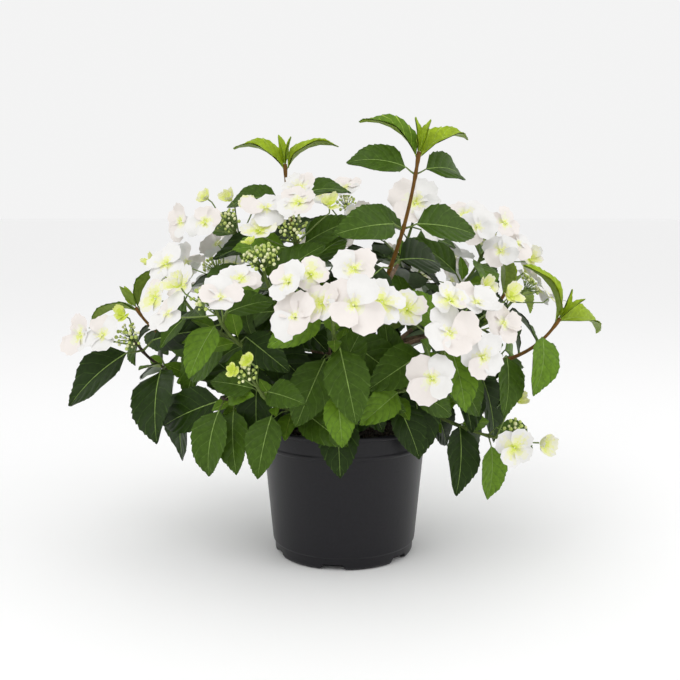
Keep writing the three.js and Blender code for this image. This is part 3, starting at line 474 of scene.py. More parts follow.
class Space:
    """Every limb, leaf and flower that is placed, and the test of a new one against the others."""

    def __init__(self):
        self.taken = []

    @staticmethod
    def shape(points, faces):
        low, high = points.min(0), points.max(0)
        centre = (low + high) / 2
        tree = BVHTree.FromPolygons([Vector(p) for p in points], faces, all_triangles=True)
        return points, tree, centre, float(np.linalg.norm(high - centre)), faces

    def hold(self, owner, kind, shape):
        self.taken.append((owner, kind, shape))

    def clear(self, owner, kind, shape, distance=CLEAR):
        points, tree, centre, radius, faces = shape
        if centre[2] - radius < COMPOST_TOP + CROWN_HEIGHT + CLEAR and meets_pot(points, faces):
            return False
        for other_owner, other_kind, (others, other_tree, other_centre, other_radius, _) in self.taken:
            if other_owner == owner and kind != "leaf" and other_kind != "leaf":
                continue
            if np.linalg.norm(centre - other_centre) > radius + other_radius + distance:
                continue
            if any(other_tree.find_nearest(Vector(p), distance)[0] is not None for p in points):
                return False
            if any(tree.find_nearest(Vector(p), distance)[0] is not None for p in others):
                return False
            if tree.overlap(other_tree):
                return False
        return True


def meets_pot(points, faces):
    """True if a face enters the pot, its compost or the woody crown, or comes nearer to them than CLEAR."""
    for face in faces:
        corners = points[list(face)]
        longest = max(np.linalg.norm(corners - np.roll(corners, -1, axis=0), axis=1))
        steps = max(math.ceil(longest / SAMPLE_STEP), 1)
        i, j = np.meshgrid(np.arange(steps + 1), np.arange(steps + 1))
        i, j = i[i + j <= steps], j[i + j <= steps]
        shares = np.stack((i, j, steps - i - j), axis=1) / steps
        samples = shares @ corners
        reach, height = np.hypot(samples[:, 0], samples[:, 1]), samples[:, 2]
        inside = (height <= COMPOST_TOP + CROWN_HEIGHT + CLEAR) & (reach <= RIM_RADIUS + CLEAR)
        crown = reach < CROWN_FLARE_RADIUS + CLEAR
        slope = (WALL_TOP_RADIUS - WALL_FOOT_RADIUS) / BAND_BOTTOM
        outer = np.where(height > BAND_BOTTOM - 2 * CLEAR, RIM_RADIUS, WALL_FOOT_RADIUS + slope * height)
        wall = (reach > POT_INNER_RADIUS - CLEAR) | (height < COMPOST_TOP + CLEAR)
        pot = (height <= POT_HEIGHT + CLEAR) & (reach < outer + CLEAR) & wall
        if (inside & (crown | pot)).any():
            return True
    return False


def leaf_shape(u):
    return np.sin(math.pi * np.asarray(u, float) ** BROADEST) ** FULLNESS


def leaf_frame(root, along, round_, light, length, open_, curl, hang, young):
    away = along * math.cos(open_) + round_ * math.sin(open_)
    base = root + away * length * (YOUNG_PETIOLE_SHARE if young else PETIOLE_SHARE)
    forward = unit(away * (1 - hang) + DOWN * hang)
    inner = along * math.sin(open_) - round_ * math.cos(open_)
    pull = YOUNG_LIGHT_PULL if young else LIGHT_PULL
    face = square_to(inner * (1 - pull) + light * pull, forward)
    left = np.cross(face, forward)
    return dict(root=root, base=base, forward=forward, left=left, face=face, length=length,
                curl=max(curl, LEAST_CURL), wide=YOUNG_LEAF_WIDTH if young else LEAF_WIDTH,
                fold=YOUNG_LEAF_FOLD if young else LEAF_FOLD)


def blade_points(leaf, u, v, lift=0.0):
    """Points of the blade: u from its base to its tip, v from its left edge at -1 to its right edge at 1."""
    u, v = np.broadcast_arrays(np.asarray(u, float), np.asarray(v, float))
    bend = (leaf["curl"] * u)[..., None]
    reach = leaf["length"] * np.sin(bend) / leaf["curl"]
    fall = leaf["length"] * (1 - np.cos(bend)) / leaf["curl"]
    width = (0.5 * leaf["length"] * leaf["wide"] * leaf_shape(np.clip(u, 0, 1)) * v)[..., None]
    normal = leaf["forward"] * np.sin(bend) + leaf["face"] * np.cos(bend)
    rise = np.abs(width) * math.sin(leaf["fold"]) + np.asarray(lift)[..., None]
    flat = leaf["base"] + leaf["forward"] * reach - leaf["face"] * fall
    return flat - leaf["left"] * width * math.cos(leaf["fold"]) + normal * rise


def leaf_solids(leaf):
    """The blade and the stalk of a leaf as the source makes them, each as points and triangles."""
    radius = PETIOLE_RADIUS
    along = unit(leaf["base"] - leaf["root"])
    side = square_to(leaf["left"], along)
    above = np.cross(along, side)
    start = leaf["root"] + along * ROOT_SINK
    edge = start - side * radius + above * radius * ROOT_RISE
    root = [start + side * radius + above * radius * ROOT_RISE, edge, edge, start - above * radius]
    rim = leaf["base"] - leaf["left"] * radius * NECK_WIDTH + leaf["face"] * radius * NECK_HEIGHT
    neck = [leaf["base"] + leaf["left"] * radius * NECK_WIDTH + leaf["face"] * radius * NECK_HEIGHT,
            rim, rim, leaf["base"] - leaf["face"] * radius]
    rings = [neck]
    for u in SMALL_LEAF_STATIONS if leaf["length"] < SMALL_LEAF else LEAF_STATIONS:
        bend = leaf["curl"] * u
        normal = leaf["forward"] * math.sin(bend) + leaf["face"] * math.cos(bend)
        middle = blade_points(leaf, u, 0)
        keel = middle - normal * LEAF_THICKNESS * (KEEL_FOOT - KEEL_TAPER * u)
        rings.append([blade_points(leaf, u, -1), middle, blade_points(leaf, u, 1), keel])
    rings.append([blade_points(leaf, 1, 0)] * 4)
    blade = np.array(rings).reshape(-1, 3)
    stalk = np.array([root, neck]).reshape(-1, 3)
    return Space.shape(blade, loft_faces(len(rings), 4, False)), Space.shape(stalk, loft_faces(2, 4, False))


def grow_leaf(space, mass, root, along, side, roll, length, open_, curl, hang, turns=LEAF_TURNS,
              distance=CLEAR, young=False):
    """Adds one leaf, turned a little round its stem where its place is taken. None where it has no room."""
    above = np.cross(along, side)
    for turn in turns:
        angle = math.radians(roll + turn)
        round_ = side * math.cos(angle) + above * math.sin(angle)
        leaf = leaf_frame(root, along, round_, mass["light"], length, math.radians(open_),
                          math.radians(curl), hang, young)
        blade, stalk = leaf_solids(leaf)
        kind = "sprout" if young else "leaf"
        if not space.clear(mass["name"], kind, blade, distance):
            continue
        if not space.clear(mass["name"], "twig", stalk, distance):
            continue
        space.hold(mass["name"], kind, blade)
        space.hold(mass["name"], "twig", stalk)
        mass["leaves"].append(leaf)
        return leaf
    return None


def floret_rings(centre, normal, spin, radius, cup):
    side, above = face_sides(normal)

    def around(middle, degrees, reach, rise):
        angle = math.radians(degrees)
        return middle + side * reach * math.cos(angle) + above * reach * math.sin(angle) + normal * rise

    rim = []
    for sepal in range(SEPALS):
        for offset, share in ((-SEPAL_SHOULDER, 1), (SEPAL_SHOULDER, 1), (45, FLORET_NOTCH)):
            rim.append(around(centre, spin + sepal * 90 + offset, radius * share, radius * share * cup))
    under = centre - normal * FLORET_THICKNESS
    stalk_tip = around(under, spin, RAY_RADIUS, 0)
    return np.array(rim + [centre] * len(rim)), loft_faces(2, len(rim), False), stalk_tip, side, above


def head_florets(shoot, draw):
    if "florets" in shoot:
        return shoot["florets"]
    first = draw() * 360
    rows = []
    for i in range(shoot["count"]):
        clock = first + i * 360 / shoot["count"] + (draw() - 0.5) * CLOCK_SPREAD
        reach = shoot["spread"] * between(draw, REACH_RANGE)
        rows.append((clock, reach, between(draw, WIDTH_RANGE)))
    return rows


def stem_point(mass, t):
    return limb_point(mass["curve"], mass["stem_start"], 1, t)


def grow_head(space, mass):
    shoot, draw, face = mass["shoot"], mass["draw"], mass["face"]
    right = unit(np.cross(UP, face))
    high = np.cross(face, right)
    foot = mass["head"] - face * shoot["buds"] * BUD_DROP
    side, above = face_sides(face)
    levels = [ring_at(foot + face * rise * shoot["buds"], side, above, shoot["buds"] * share, BUD_SIDES)
              for rise, share in BUD_LEVELS]
    space.hold(mass["name"], "twig", Space.shape(np.vstack(levels), loft_faces(len(levels), BUD_SIDES)))
    mass["bud_foot"] = foot
    length = mass["curve"].length
    for index, (clock, reach, width) in enumerate(head_florets(shoot, draw)):
        spin = draw() * 90
        angle = math.radians(clock)
        round_ = right * math.sin(angle) + high * math.cos(angle)
        share = reach / HEAD_REACH
        lean = math.radians(spin * LEAN_TURNS)
        own = right * math.cos(lean) + high * math.sin(lean)
        normal = unit(face + round_ * FLORET_TILT * share + own * FLORET_LEAN)
        cup = YOUNG_CUP if width < YOUNG_FLORET else OPEN_CUP
        ray_foot = stem_point(mass, 1 - RAY_STEP * (index + RAY_FIRST) / length)
        for lift in FLORET_LIFTS:
            centre = mass["head"] + round_ * reach + face * (lift - HEAD_DOME * share * share)
            petals, faces, stalk_tip, across, over = floret_rings(centre, normal, spin, width / 2, cup)
            rings = straight_rings(ray_foot, stalk_tip, RAY_RADIUS, RAY_RADIUS, TWIG_SIDES)
            petals = Space.shape(petals, faces)
            stalk = Space.shape(np.vstack(rings), loft_faces(2, TWIG_SIDES))
            if space.clear(mass["name"], "leaf", petals) and space.clear(mass["name"], "twig", stalk):
                space.hold(mass["name"], "leaf", petals)
                space.hold(mass["name"], "twig", stalk)
                mass["florets"].append(dict(foot=ray_foot, centre=centre, normal=normal, spin=spin,
                                            radius=width / 2, cup=cup, side=across, above=over))
                break


def shoot_curve(shoot, parent):
    head = np.array(shoot["at"], float)
    face = unit(np.array(shoot["face"], float))
    outward = unit(np.array((shoot["at"][0], shoot["at"][1], 0.0)))
    leafy = shoot.get("leafy", False)
    top = head if leafy else head - face * HEAD_DROP
    if parent:
        share = parent["split"] * shoot["along"]
        foot = limb_point(parent["curve"], 0, parent["split"], share)
        leave = unit(parent["curve"].tangent(share) * FORK_KEEP + unit(top - foot) * FORK_TURN)
    else:
        away, rise = LOW_SPRING if shoot["rise"] < LOW_RISE else HIGH_SPRING
        foot = outward * away + UP * (COMPOST_TOP + rise)
        leave = outward * math.cos(math.radians(shoot["rise"])) + UP * math.sin(math.radians(shoot["rise"]))
    forward, upward, out = ARCHED_ARRIVAL if shoot.get("arch") else ARRIVAL
    arrive = face if leafy else unit(face * forward + UP * upward + outward * out)
    chord = float(np.linalg.norm(top - foot))
    curve = Bend(foot, foot + leave * chord * HANDLE, top - arrive * chord * HANDLE, top)
    return dict(head=head, face=face, outward=outward, curve=curve)


def hold_limb(space, mass, ending, kind, start, end, radii, sides):
    rings = limb_rings(mass["curve"], start, end, *radii, sides, mass["across"])
    space.hold(mass["name"] + ending, kind, Space.shape(np.vstack(rings), loft_faces(len(rings), sides)))


def plan_mass(space, shoot, named):
    parent = named[shoot["on"]] if "on" in shoot else None
    mass = dict(shoot=shoot, name=shoot["name"], leaves=[], florets=[], twigs=[], nodes=[], missed=[],
                draw=seeded(shoot["seed"]))
    mass.update(shoot_curve(shoot, parent))
    mass["across"] = np.cross(UP, mass["outward"])
    ahead = FRONT_LIGHT if shoot["at"][1] < FRONT_END else 0
    mass["light"] = unit(UP * SKY_LIGHT + mass["outward"] * SIDE_LIGHT + AHEAD * ahead)
    mass["pairs"] = shoot.get("pairs", LEAFY_PAIRS if shoot.get("leafy") else FLOWERING_PAIRS)
    length = mass["curve"].length
    leafed = sum(mass["pairs"]) + STEM_SPARE
    mass["low"] = parent is None and shoot["rise"] < LOW_RISE
    mass["split"] = 0 if mass["low"] else max(LEAST_BOUGH, 1 - leafed / length)
    mass["foot_radius"] = FORK_FOOT_RADIUS if parent else BOUGH_FOOT_RADIUS
    mass["stem_start"] = mass["split"] + (0 if mass["low"] else GAP / length)
    if not mass["low"]:
        hold_limb(space, mass, "_bough", "limb", 0, mass["split"],
                  (mass["foot_radius"], STEM_FOOT_RADIUS), BOUGH_SIDES)
    hold_limb(space, mass, "", "stem", mass["stem_start"], 1,
              (STEM_FOOT_RADIUS, STEM_TIP_RADIUS), STEM_SOLID_SIDES)
    return mass


def grow_pairs(space, mass):
    shoot, draw = mass["shoot"], mass["draw"]
    leafy = shoot.get("leafy", False)
    ages = LEAFY_AGES if leafy else FLOWERING_AGES
    length = mass["curve"].length
    below = 0
    for age, step in enumerate(mass["pairs"]):
        below += step
        t = 1 - below / length
        root, along = stem_point(mass, t), mass["curve"].tangent(t)
        side = square_to(mass["across"], along)
        old = min(age + shoot.get("aged", 0), len(ages["length"]) - 1)
        mass["nodes"].append(t)
        for half in (0, 180):
            size = ages["length"][old] * shoot.get("scale", 1) * (1 + SIZE_SPREAD * (draw() - 0.5))
            roll = shoot["roll"] + age * shoot.get("turn", 90) + half + ROLL_SPREAD * (draw() - 0.5)
            young = leafy and old < YOUNG_AGES
            hang = shoot["hang"] * YOUNG_HANG if young else min(MOST_HANG, shoot["hang"] + HANG_STEP * age)
            leaf = grow_leaf(space, mass, root, along, side, roll, size, ages["open"][old],
                             ages["curl"][old], hang, young=young)
            seen = old if leafy else old + 2
            if leaf:
                leaf["age"] = seen
            else:
                mass["missed"].append(
                    (root, along, side, roll, size, ages["open"][old], hang, young, seen))


def grow_twigs(space, mass):
    shoot, draw = mass["shoot"], mass["draw"]
    length = mass["curve"].length
    below = mass["pairs"][0]
    for step in mass["pairs"][1:]:
        below += step
        t = 1 - below / length
        along = mass["curve"].tangent(t)
        side = square_to(mass["across"], along)
        angle = draw() * 2 * math.pi
        round_ = side * math.cos(angle) + np.cross(along, side) * math.sin(angle)
        if not (step > TWIG_STEP and draw() < shoot.get("twigs", TWIG_CHANCE)):
            continue
        root = stem_point(mass, t)
        lean = unit(along * TWIG_ALONG + round_ * TWIG_OUT)
        tip = root + lean * TWIG_LENGTH * between(draw, TWIG_RANGE)
        spin = draw() * 180
        rings = straight_rings(root, tip, TWIG_RADIUS, TWIG_RADIUS * TWIG_TAPER, TWIG_SIDES)
        solid = Space.shape(np.vstack(rings), loft_faces(2, TWIG_SIDES))
        if not space.clear(mass["name"], "twig", solid):
            continue
        space.hold(mass["name"], "twig", solid)
        mass["twigs"].append((root, tip))
        for half in (0, 180):
            leaf = grow_leaf(space, mass, tip + (root - tip) * TWIG_LEAF_BELOW, lean, square_to(side, lean),
                             spin + half, **TWIG_LEAF)
            if leaf:
                leaf["age"] = USUAL_AGE


def refill(space, mass, draw):
    """Smaller leaves where a full one found no room, and young ones in the angles of the stem."""
    for root, along, side, roll, size, open_, hang, young, age in mass["missed"]:
        for scale in REFILL_SCALES:
            leaf = grow_leaf(space, mass, root, along, side, roll, size * scale, open_, REFILL_CURL, hang,
                             REFILL_TURNS, FINE_CLEAR, young)
            if leaf:
                leaf["age"] = age
                break
    if mass["shoot"].get("leafy") and not mass["shoot"].get("aged"):
        return
    for t in mass["nodes"][1:]:
        along = mass["curve"].tangent(t)
        side = square_to(mass["across"], along)
        roll = draw() * 360
        for half in (0, 180):
            leaf = grow_leaf(space, mass, stem_point(mass, t), along, side, roll + half,
                             AXIL_LENGTH * between(draw, AXIL_RANGE), AXIL_OPEN, AXIL_CURL, AXIL_HANG,
                             REFILL_TURNS, FINE_CLEAR)
            if leaf:
                leaf["age"] = 1
                leaf["fine"] = True


def clothe_bough(space, mass, draw):
    """Pairs of leaves down the bough, which fill the inside of the crown."""
    if mass["low"]:
        return
    length = mass["curve"].length
    place = mass["split"] * length - BOUGH_TOP
    age = 0
    while place > BOUGH_BARE:
        t = place / length
        along = mass["curve"].tangent(t)
        side = square_to(mass["across"], along)
        root = limb_point(mass["curve"], 0, mass["split"], t)
        roll = mass["shoot"]["roll"] + 90 * age + draw() * BOUGH_LEAF_TURN
        for half in (0, 180):
            size = BOUGH_LEAF * between(draw, BOUGH_LEAF_RANGE)
            for scale in (1,) + REFILL_SCALES:
                leaf = grow_leaf(space, mass, root, along, side, roll + half, size * scale, BOUGH_LEAF_OPEN,
                                 BOUGH_LEAF_CURL, BOUGH_LEAF_HANG, REFILL_TURNS, FINE_CLEAR)
                if leaf:
                    leaf["age"] = BOUGH_LEAF_AGE
                    leaf["fine"] = True
                    break
        place -= BOUGH_STEP
        age += 1


def grow_shrub():
    """Plans, heads, leaves from the tips down and twigs as in the source, then the finer growth."""
    space = Space()
    masses, named = [], {}
    for shoot in SHOOTS:
        mass = plan_mass(space, shoot, named)
        masses.append(mass)
        named[mass["name"]] = mass
    for mass in masses:
        if not mass["shoot"].get("leafy"):
            grow_head(space, mass)
    for mass in masses:
        grow_pairs(space, mass)
    for mass in masses:
        grow_twigs(space, mass)
    draw = seeded(FINE_SEED)
    for mass in masses:
        refill(space, mass, draw)
    for mass in masses:
        clothe_bough(space, mass, draw)
    return masses


SHRUB = {}


def shrub_masses():
    """The shrub, grown once for all the operators that dress it."""
    if "masses" not in SHRUB:
        SHRUB["masses"] = grow_shrub()
    return SHRUB["masses"]


class Heap:
    """Many small shapes that become one joined mesh: points in mm, faces and their material slots."""

    def __init__(self):
        self.points, self.faces, self.slots = [], [], []
        self.count = 0

    def add(self, points, faces, slots):
        points = np.asarray(points, float).reshape(-1, 3)
        self.points.append(points)
        self.faces += [[corner + self.count for corner in face] for face in faces]
        self.slots += [slots] * len(faces) if isinstance(slots, int) else list(slots)
        self.count += len(points)

    def build(self, name, materials):
        mesh = bpy.data.meshes.new(name)
        mesh.from_pydata((np.vstack(self.points) * MM).tolist(), [], self.faces)
        for material in materials:
            mesh.materials.append(material)
        mesh.polygons.foreach_set("material_index", self.slots)
        mesh.polygons.foreach_set("use_smooth", [True] * len(mesh.polygons))
        mesh.update()
        return link(name, mesh)


def link(name, mesh):
    """A new object at the origin, which rides on the part's one body."""
    piece = bpy.data.objects.new(name, mesh)
    bpy.context.scene.collection.objects.link(piece)
    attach(piece, ROOT)
    return piece


def tube_faces(rings, sides):
    faces = []
    for ring in range(1, rings):
        low, high = (ring - 1) * sides, ring * sides
        faces += [(low + i, low + (i + 1) % sides, high + (i + 1) % sides, high + i) for i in range(sides)]
    faces.append(tuple(range(sides - 1, -1, -1)))
    faces.append(tuple((rings - 1) * sides + i for i in range(sides)))
    return faces


def tube_points(path, radii, sides, across):
    path = np.asarray(path, float)
    tangents = np.gradient(path, axis=0)
    rings = []
    for centre, tangent, radius in zip(path, tangents, radii):
        along = unit(tangent)
        side = square_to(across, along)
        rings.append(ring_at(centre, side, np.cross(along, side), radius, sides))
    return np.vstack(rings)


def add_tube(heap, path, radii, sides, slot):
    """A round tapered tube along a path, with closed ends."""
    direction = unit(np.asarray(path[-1]) - np.asarray(path[0]))
    across = np.array((1.0, 0, 0)) if abs(direction[0]) < 0.8 else np.array((0, 1.0, 0))
    heap.add(tube_points(path, radii, sides, across), tube_faces(len(path), sides), slot)


def turned(profile, steps):
    """A closed form turned about the pot's axis from a profile of radii and heights."""
    bm = bmesh.new()
    points = [bm.verts.new((radius * MM, 0, height * MM)) for radius, height in profile]
    edges = [bm.edges.new(pair) for pair in zip(points, points[1:])]
    bmesh.ops.spin(bm, geom=points + edges, axis=(0, 0, 1), cent=(0, 0, 0), angle=2 * math.pi,
                   steps=steps, use_merge=True)
    bmesh.ops.remove_doubles(bm, verts=bm.verts, dist=MERGE_DISTANCE)
    bmesh.ops.recalc_face_normals(bm, faces=bm.faces)
    return bm


def smooth_mesh(bm, name):
    """The mesh of a finished form, shaded smooth."""
    for face in bm.faces:
        face.smooth = True
    mesh = bpy.data.meshes.new(name)
    bm.to_mesh(mesh)
    bm.free()
    return mesh


# Materials
def new_material(name, colour, roughness, **sockets):
    material = bpy.data.materials.new(name)
    material.use_nodes = True
    shader = material.node_tree.nodes["Principled BSDF"]
    shader.inputs["Base Color"].default_value = (*colour, 1)
    shader.inputs["Roughness"].default_value = roughness
    for socket, value in sockets.items():
        shader.inputs[socket.replace("_", " ")].default_value = value
    return material


def add_noise_bump(material, scale, strength, distance, stretch=(1, 1, 1)):
    """A fine relief on the material, from noise on Object coordinates."""
    tree = material.node_tree
    shader = tree.nodes["Principled BSDF"]
    place = tree.nodes.new("ShaderNodeTexCoord")
    mapping = tree.nodes.new("ShaderNodeMapping")
    mapping.inputs["Scale"].default_value = stretch
    noise = tree.nodes.new("ShaderNodeTexNoise")
    noise.inputs["Scale"].default_value = scale
    noise.inputs["Detail"].default_value = 4
    bump = tree.nodes.new("ShaderNodeBump")
    bump.inputs["Strength"].default_value = strength
    bump.inputs["Distance"].default_value = distance
    tree.links.new(place.outputs["Object"], mapping.inputs["Vector"])
    tree.links.new(mapping.outputs["Vector"], noise.inputs["Vector"])
    tree.links.new(noise.outputs["Fac"], bump.inputs["Height"])
    tree.links.new(bump.outputs["Normal"], shader.inputs["Normal"])
    return noise


def add_mottle(material, noise, dark, light, low=0.35, high=0.68):
    """The noise also shades the base colour between two tones."""
    tree = material.node_tree
    shader = tree.nodes["Principled BSDF"]
    ramp = tree.nodes.new("ShaderNodeValToRGB")
    ramp.color_ramp.elements[0].position = low
    ramp.color_ramp.elements[0].color = (*dark, 1)
    ramp.color_ramp.elements[1].position = high
    ramp.color_ramp.elements[1].color = (*light, 1)
    tree.links.new(noise.outputs["Fac"], ramp.inputs["Fac"])
    tree.links.new(ramp.outputs["Color"], shader.inputs["Base Color"])


def shade(colour, factor):
    return tuple(min(channel * factor, 1) for channel in colour[:3])


def tint(name, text, colour):
    """A colour that the sidebar shows."""
    return FloatVectorProperty(name=name, description=text, subtype="COLOR", default=colour, min=0, max=1)


def mottled(name, colour, roughness, relief, tones, **sockets):
    """A finish with a relief whose noise also shades its colour."""
    material = new_material(name, colour, roughness, **sockets)
    noise = add_noise_bump(material, *relief)
    add_mottle(material, noise, shade(colour, tones[0]), shade(colour, tones[1]))
    return material


class LeafLooks(bpy.types.PropertyGroup):
    old: tint("Old leaf", "Upper side of an old leaf", (0.015, 0.034, 0.003))
    grown: tint("Grown leaf", "Upper side of a full-grown leaf", (0.046, 0.093, 0.007))
    fresh: tint("Fresh leaf", "Leaves below a tip", (0.11, 0.208, 0.014))
    tip: tint("Young leaf", "The youngest leaves of a tip", (0.275, 0.385, 0.013))
    vein: tint("Vein", "Side veins of a grown leaf", (0.075, 0.135, 0.02))
    old_vein: tint("Old vein", "Side veins of an old leaf", (0.036, 0.07, 0.01))
    midrib: tint("Midrib", "Pale midrib of a grown leaf", (0.22, 0.33, 0.08))
    young_vein: tint("Young vein", "Veins of a young leaf", (0.34, 0.46, 0.07))
    under: tint("Underside", "Pale underside of a grown leaf", (0.1, 0.16, 0.055))
    young_under: tint("Young underside", "Underside of a young leaf", (0.22, 0.31, 0.05))
    gloss: FloatProperty(name="Roughness", description="Roughness of the leaves' upper side", default=0.42,
                         min=0, max=1)


class BlossomLooks(bpy.types.PropertyGroup):
    white: tint("Sepal", "Open sepals", (0.715, 0.707, 0.69))
    blush: tint("Blush", "Sepals with a breath of pink", (0.72, 0.675, 0.642))
    ivory: tint("Ivory", "Inside the white of a sepal", (0.72, 0.712, 0.585))
    cream: tint("Cream", "Between a sepal's base and its ivory", (0.715, 0.722, 0.41))
    lime: tint("Lime", "Young sepals, and next to the base of older ones", (0.68, 0.72, 0.24))
    base: tint("Sepal base", "Yellow-green base of a sepal", (0.58, 0.66, 0.09))
    bud: tint("Bud", "Closed fertile buds", (0.5, 0.6, 0.15))
    pale_bud: tint("Pale bud", "Opening fertile buds", (0.8, 0.82, 0.47))
    crenation: FloatProperty(name="Crenation", description="Depth of the sepals' edge waves, of their length",
                             default=0.028, min=0, max=0.1)
    # Painted glow: an even emission in the sepals' own colour stands in for light shining through them and
    # lifts their shaded sides.
    painted_glow: FloatProperty(name="Glow", description="Light that comes through the thin sepals", default=0.12,
                        min=0, max=1)


class WoodLooks(bpy.types.PropertyGroup):
    green: tint("Green stem", "Young stems and leaf stalks", (0.12, 0.17, 0.04))
    red: tint("Red stem", "Reddish-brown stems of the tall tips", (0.135, 0.062, 0.006))
    dark: tint("Dark stem", "Dark stems at the left", (0.055, 0.035, 0.03))
    bark: tint("Bark", "Bark of the boughs and the crown", (0.17, 0.11, 0.065))
    rings: IntProperty(name="Bark rings", description="Rings of relief along each bough", default=26,
                       min=4, max=80)


class PotLooks(bpy.types.PropertyGroup):
    height: FloatProperty(name="Height", description="Height of the pot", unit="LENGTH",
                          default=POT_BOX[1].z - POT_BOX[0].z)
    rim_radius: FloatProperty(name="Rim radius", description="Outer radius of the pot's rim", unit="LENGTH",
                              default=RIM_RADIUS * MM)
    colour: tint("Plastic", "Colour of the pot's plastic", (0.0065, 0.006, 0.0085))
    compost: tint("Compost", "Colour of the compost", (0.03, 0.021, 0.015))
    crumbs: IntProperty(name="Crumbs", description="Number of loose crumbs on the compost", default=700,
                        min=0, max=4000)


class StageLooks(bpy.types.PropertyGroup):
    floor: tint("Floor", "Colour of the plain floor", (0.97, 0.97, 0.97))
    key: FloatProperty(name="Key light", description="Power of the large soft light", default=14, min=0)
    fill: FloatProperty(name="Sky", description="Strength of the even light all round", default=0.9, min=0)


class HYDRANGEA_OT_pot(bpy.types.Operator):
    """Builds the nursery pot, with its lip, rim band, stepped foot and drainage notches"""

    bl_idname = "hydrangea.pot"
    bl_label = "Pot"

    def execute(self, context):
        looks = context.scene.hydrangea_pot
        top = looks.height / MM
        rim = looks.rim_radius / MM
        lip = top - LIP_HEIGHT
        inner = WALL_THICKNESS
        profile = [
            (0, 0), (FOOT_RADIUS - 4.5, 0), (FOOT_RADIUS - 1.6, 0.9), (FOOT_RADIUS, 4),
            (FOOT_RADIUS + 0.4, 12.4), (FOOT_RADIUS + 1, 13.6), (WALL_FOOT_RADIUS - 0.4, 14.6),
            (WALL_FOOT_RADIUS, 16),
            (WALL_TOP_RADIUS - 0.1, BAND_BOTTOM - 2), (WALL_TOP_RADIUS + 0.8, BAND_BOTTOM - 0.8),
            (BAND_RADIUS - 0.4, BAND_BOTTOM), (BAND_RADIUS, BAND_BOTTOM + 1),
            (BAND_RADIUS + 0.2, BAND_BOTTOM + 3),
            (BAND_RADIUS - 0.3, BAND_BOTTOM + 3.6), (BAND_RADIUS - 0.2, BAND_BOTTOM + 4.6),
            (rim - 1.4, lip - 0.6), (rim - 0.5, lip), (rim, lip + 0.8), (rim, top - 1),
            (rim - 0.4, top - 0.3), (rim - 1, top), (rim - inner - 0.2, top), (rim - inner - 0.8, top - 0.8),
            (BAND_RADIUS - inner, BAND_BOTTOM + 2), (WALL_TOP_RADIUS - inner, BAND_BOTTOM - 1),
            (WALL_FOOT_RADIUS - inner - 2, FLOOR_THICKNESS), (0, FLOOR_THICKNESS),
        ]
        bm = turned(profile, POT_SIDES)
        mesh = smooth_mesh(bm, "pot_shell")
        pot = link("pot_shell", mesh)
        self.cut_notches(pot)
        mesh.materials.append(self.plastic(looks))
        edge_split = pot.modifiers.new("Crisp edges", "EDGE_SPLIT")
        edge_split.split_angle = math.radians(46)
        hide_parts("pot")
        return {"FINISHED"}

    @staticmethod
    def cut_notches(pot):
        """Cuts the drains round the foot, each wider at the floor than at its top."""
        bm = bmesh.new()
        for i in range(NOTCHES):
            angle = math.radians(NOTCH_FIRST + i * 360 / NOTCHES)
            block = bmesh.ops.create_cube(bm, size=1)["verts"]
            for vert in block:
                width = NOTCH_WIDTH if vert.co.z < 0 else NOTCH_TOP_WIDTH
                reach = FOOT_RADIUS - NOTCH_DEPTH / 2 + 3 + vert.co.x * (NOTCH_DEPTH + 6)
                vert.co = Vector((reach, vert.co.y * width, -1 if vert.co.z < 0 else NOTCH_HEIGHT)) * MM
            bmesh.ops.rotate(bm, verts=block, matrix=Matrix.Rotation(angle, 3, "Z"))
        mesh = bpy.data.meshes.new("notch_cutters")
        bm.to_mesh(mesh)
        bm.free()
        cutter = bpy.data.objects.new("notch_cutters", mesh)
        bpy.context.scene.collection.objects.link(cutter)
        cut = pot.modifiers.new("Notches", "BOOLEAN")
        cut.operation = "DIFFERENCE"
        cut.object = cutter
        cut.solver = "EXACT"
        with bpy.context.temp_override(object=pot, active_object=pot):
            bpy.ops.object.modifier_apply(modifier=cut.name)
        bpy.data.objects.remove(cutter)

    @staticmethod
    def plastic(looks):
        return mottled("pot_plastic", looks.colour, 0.38, POT_RELIEF, POT_TONES,
                       Specular_IOR_Level=POT_GLOSS)


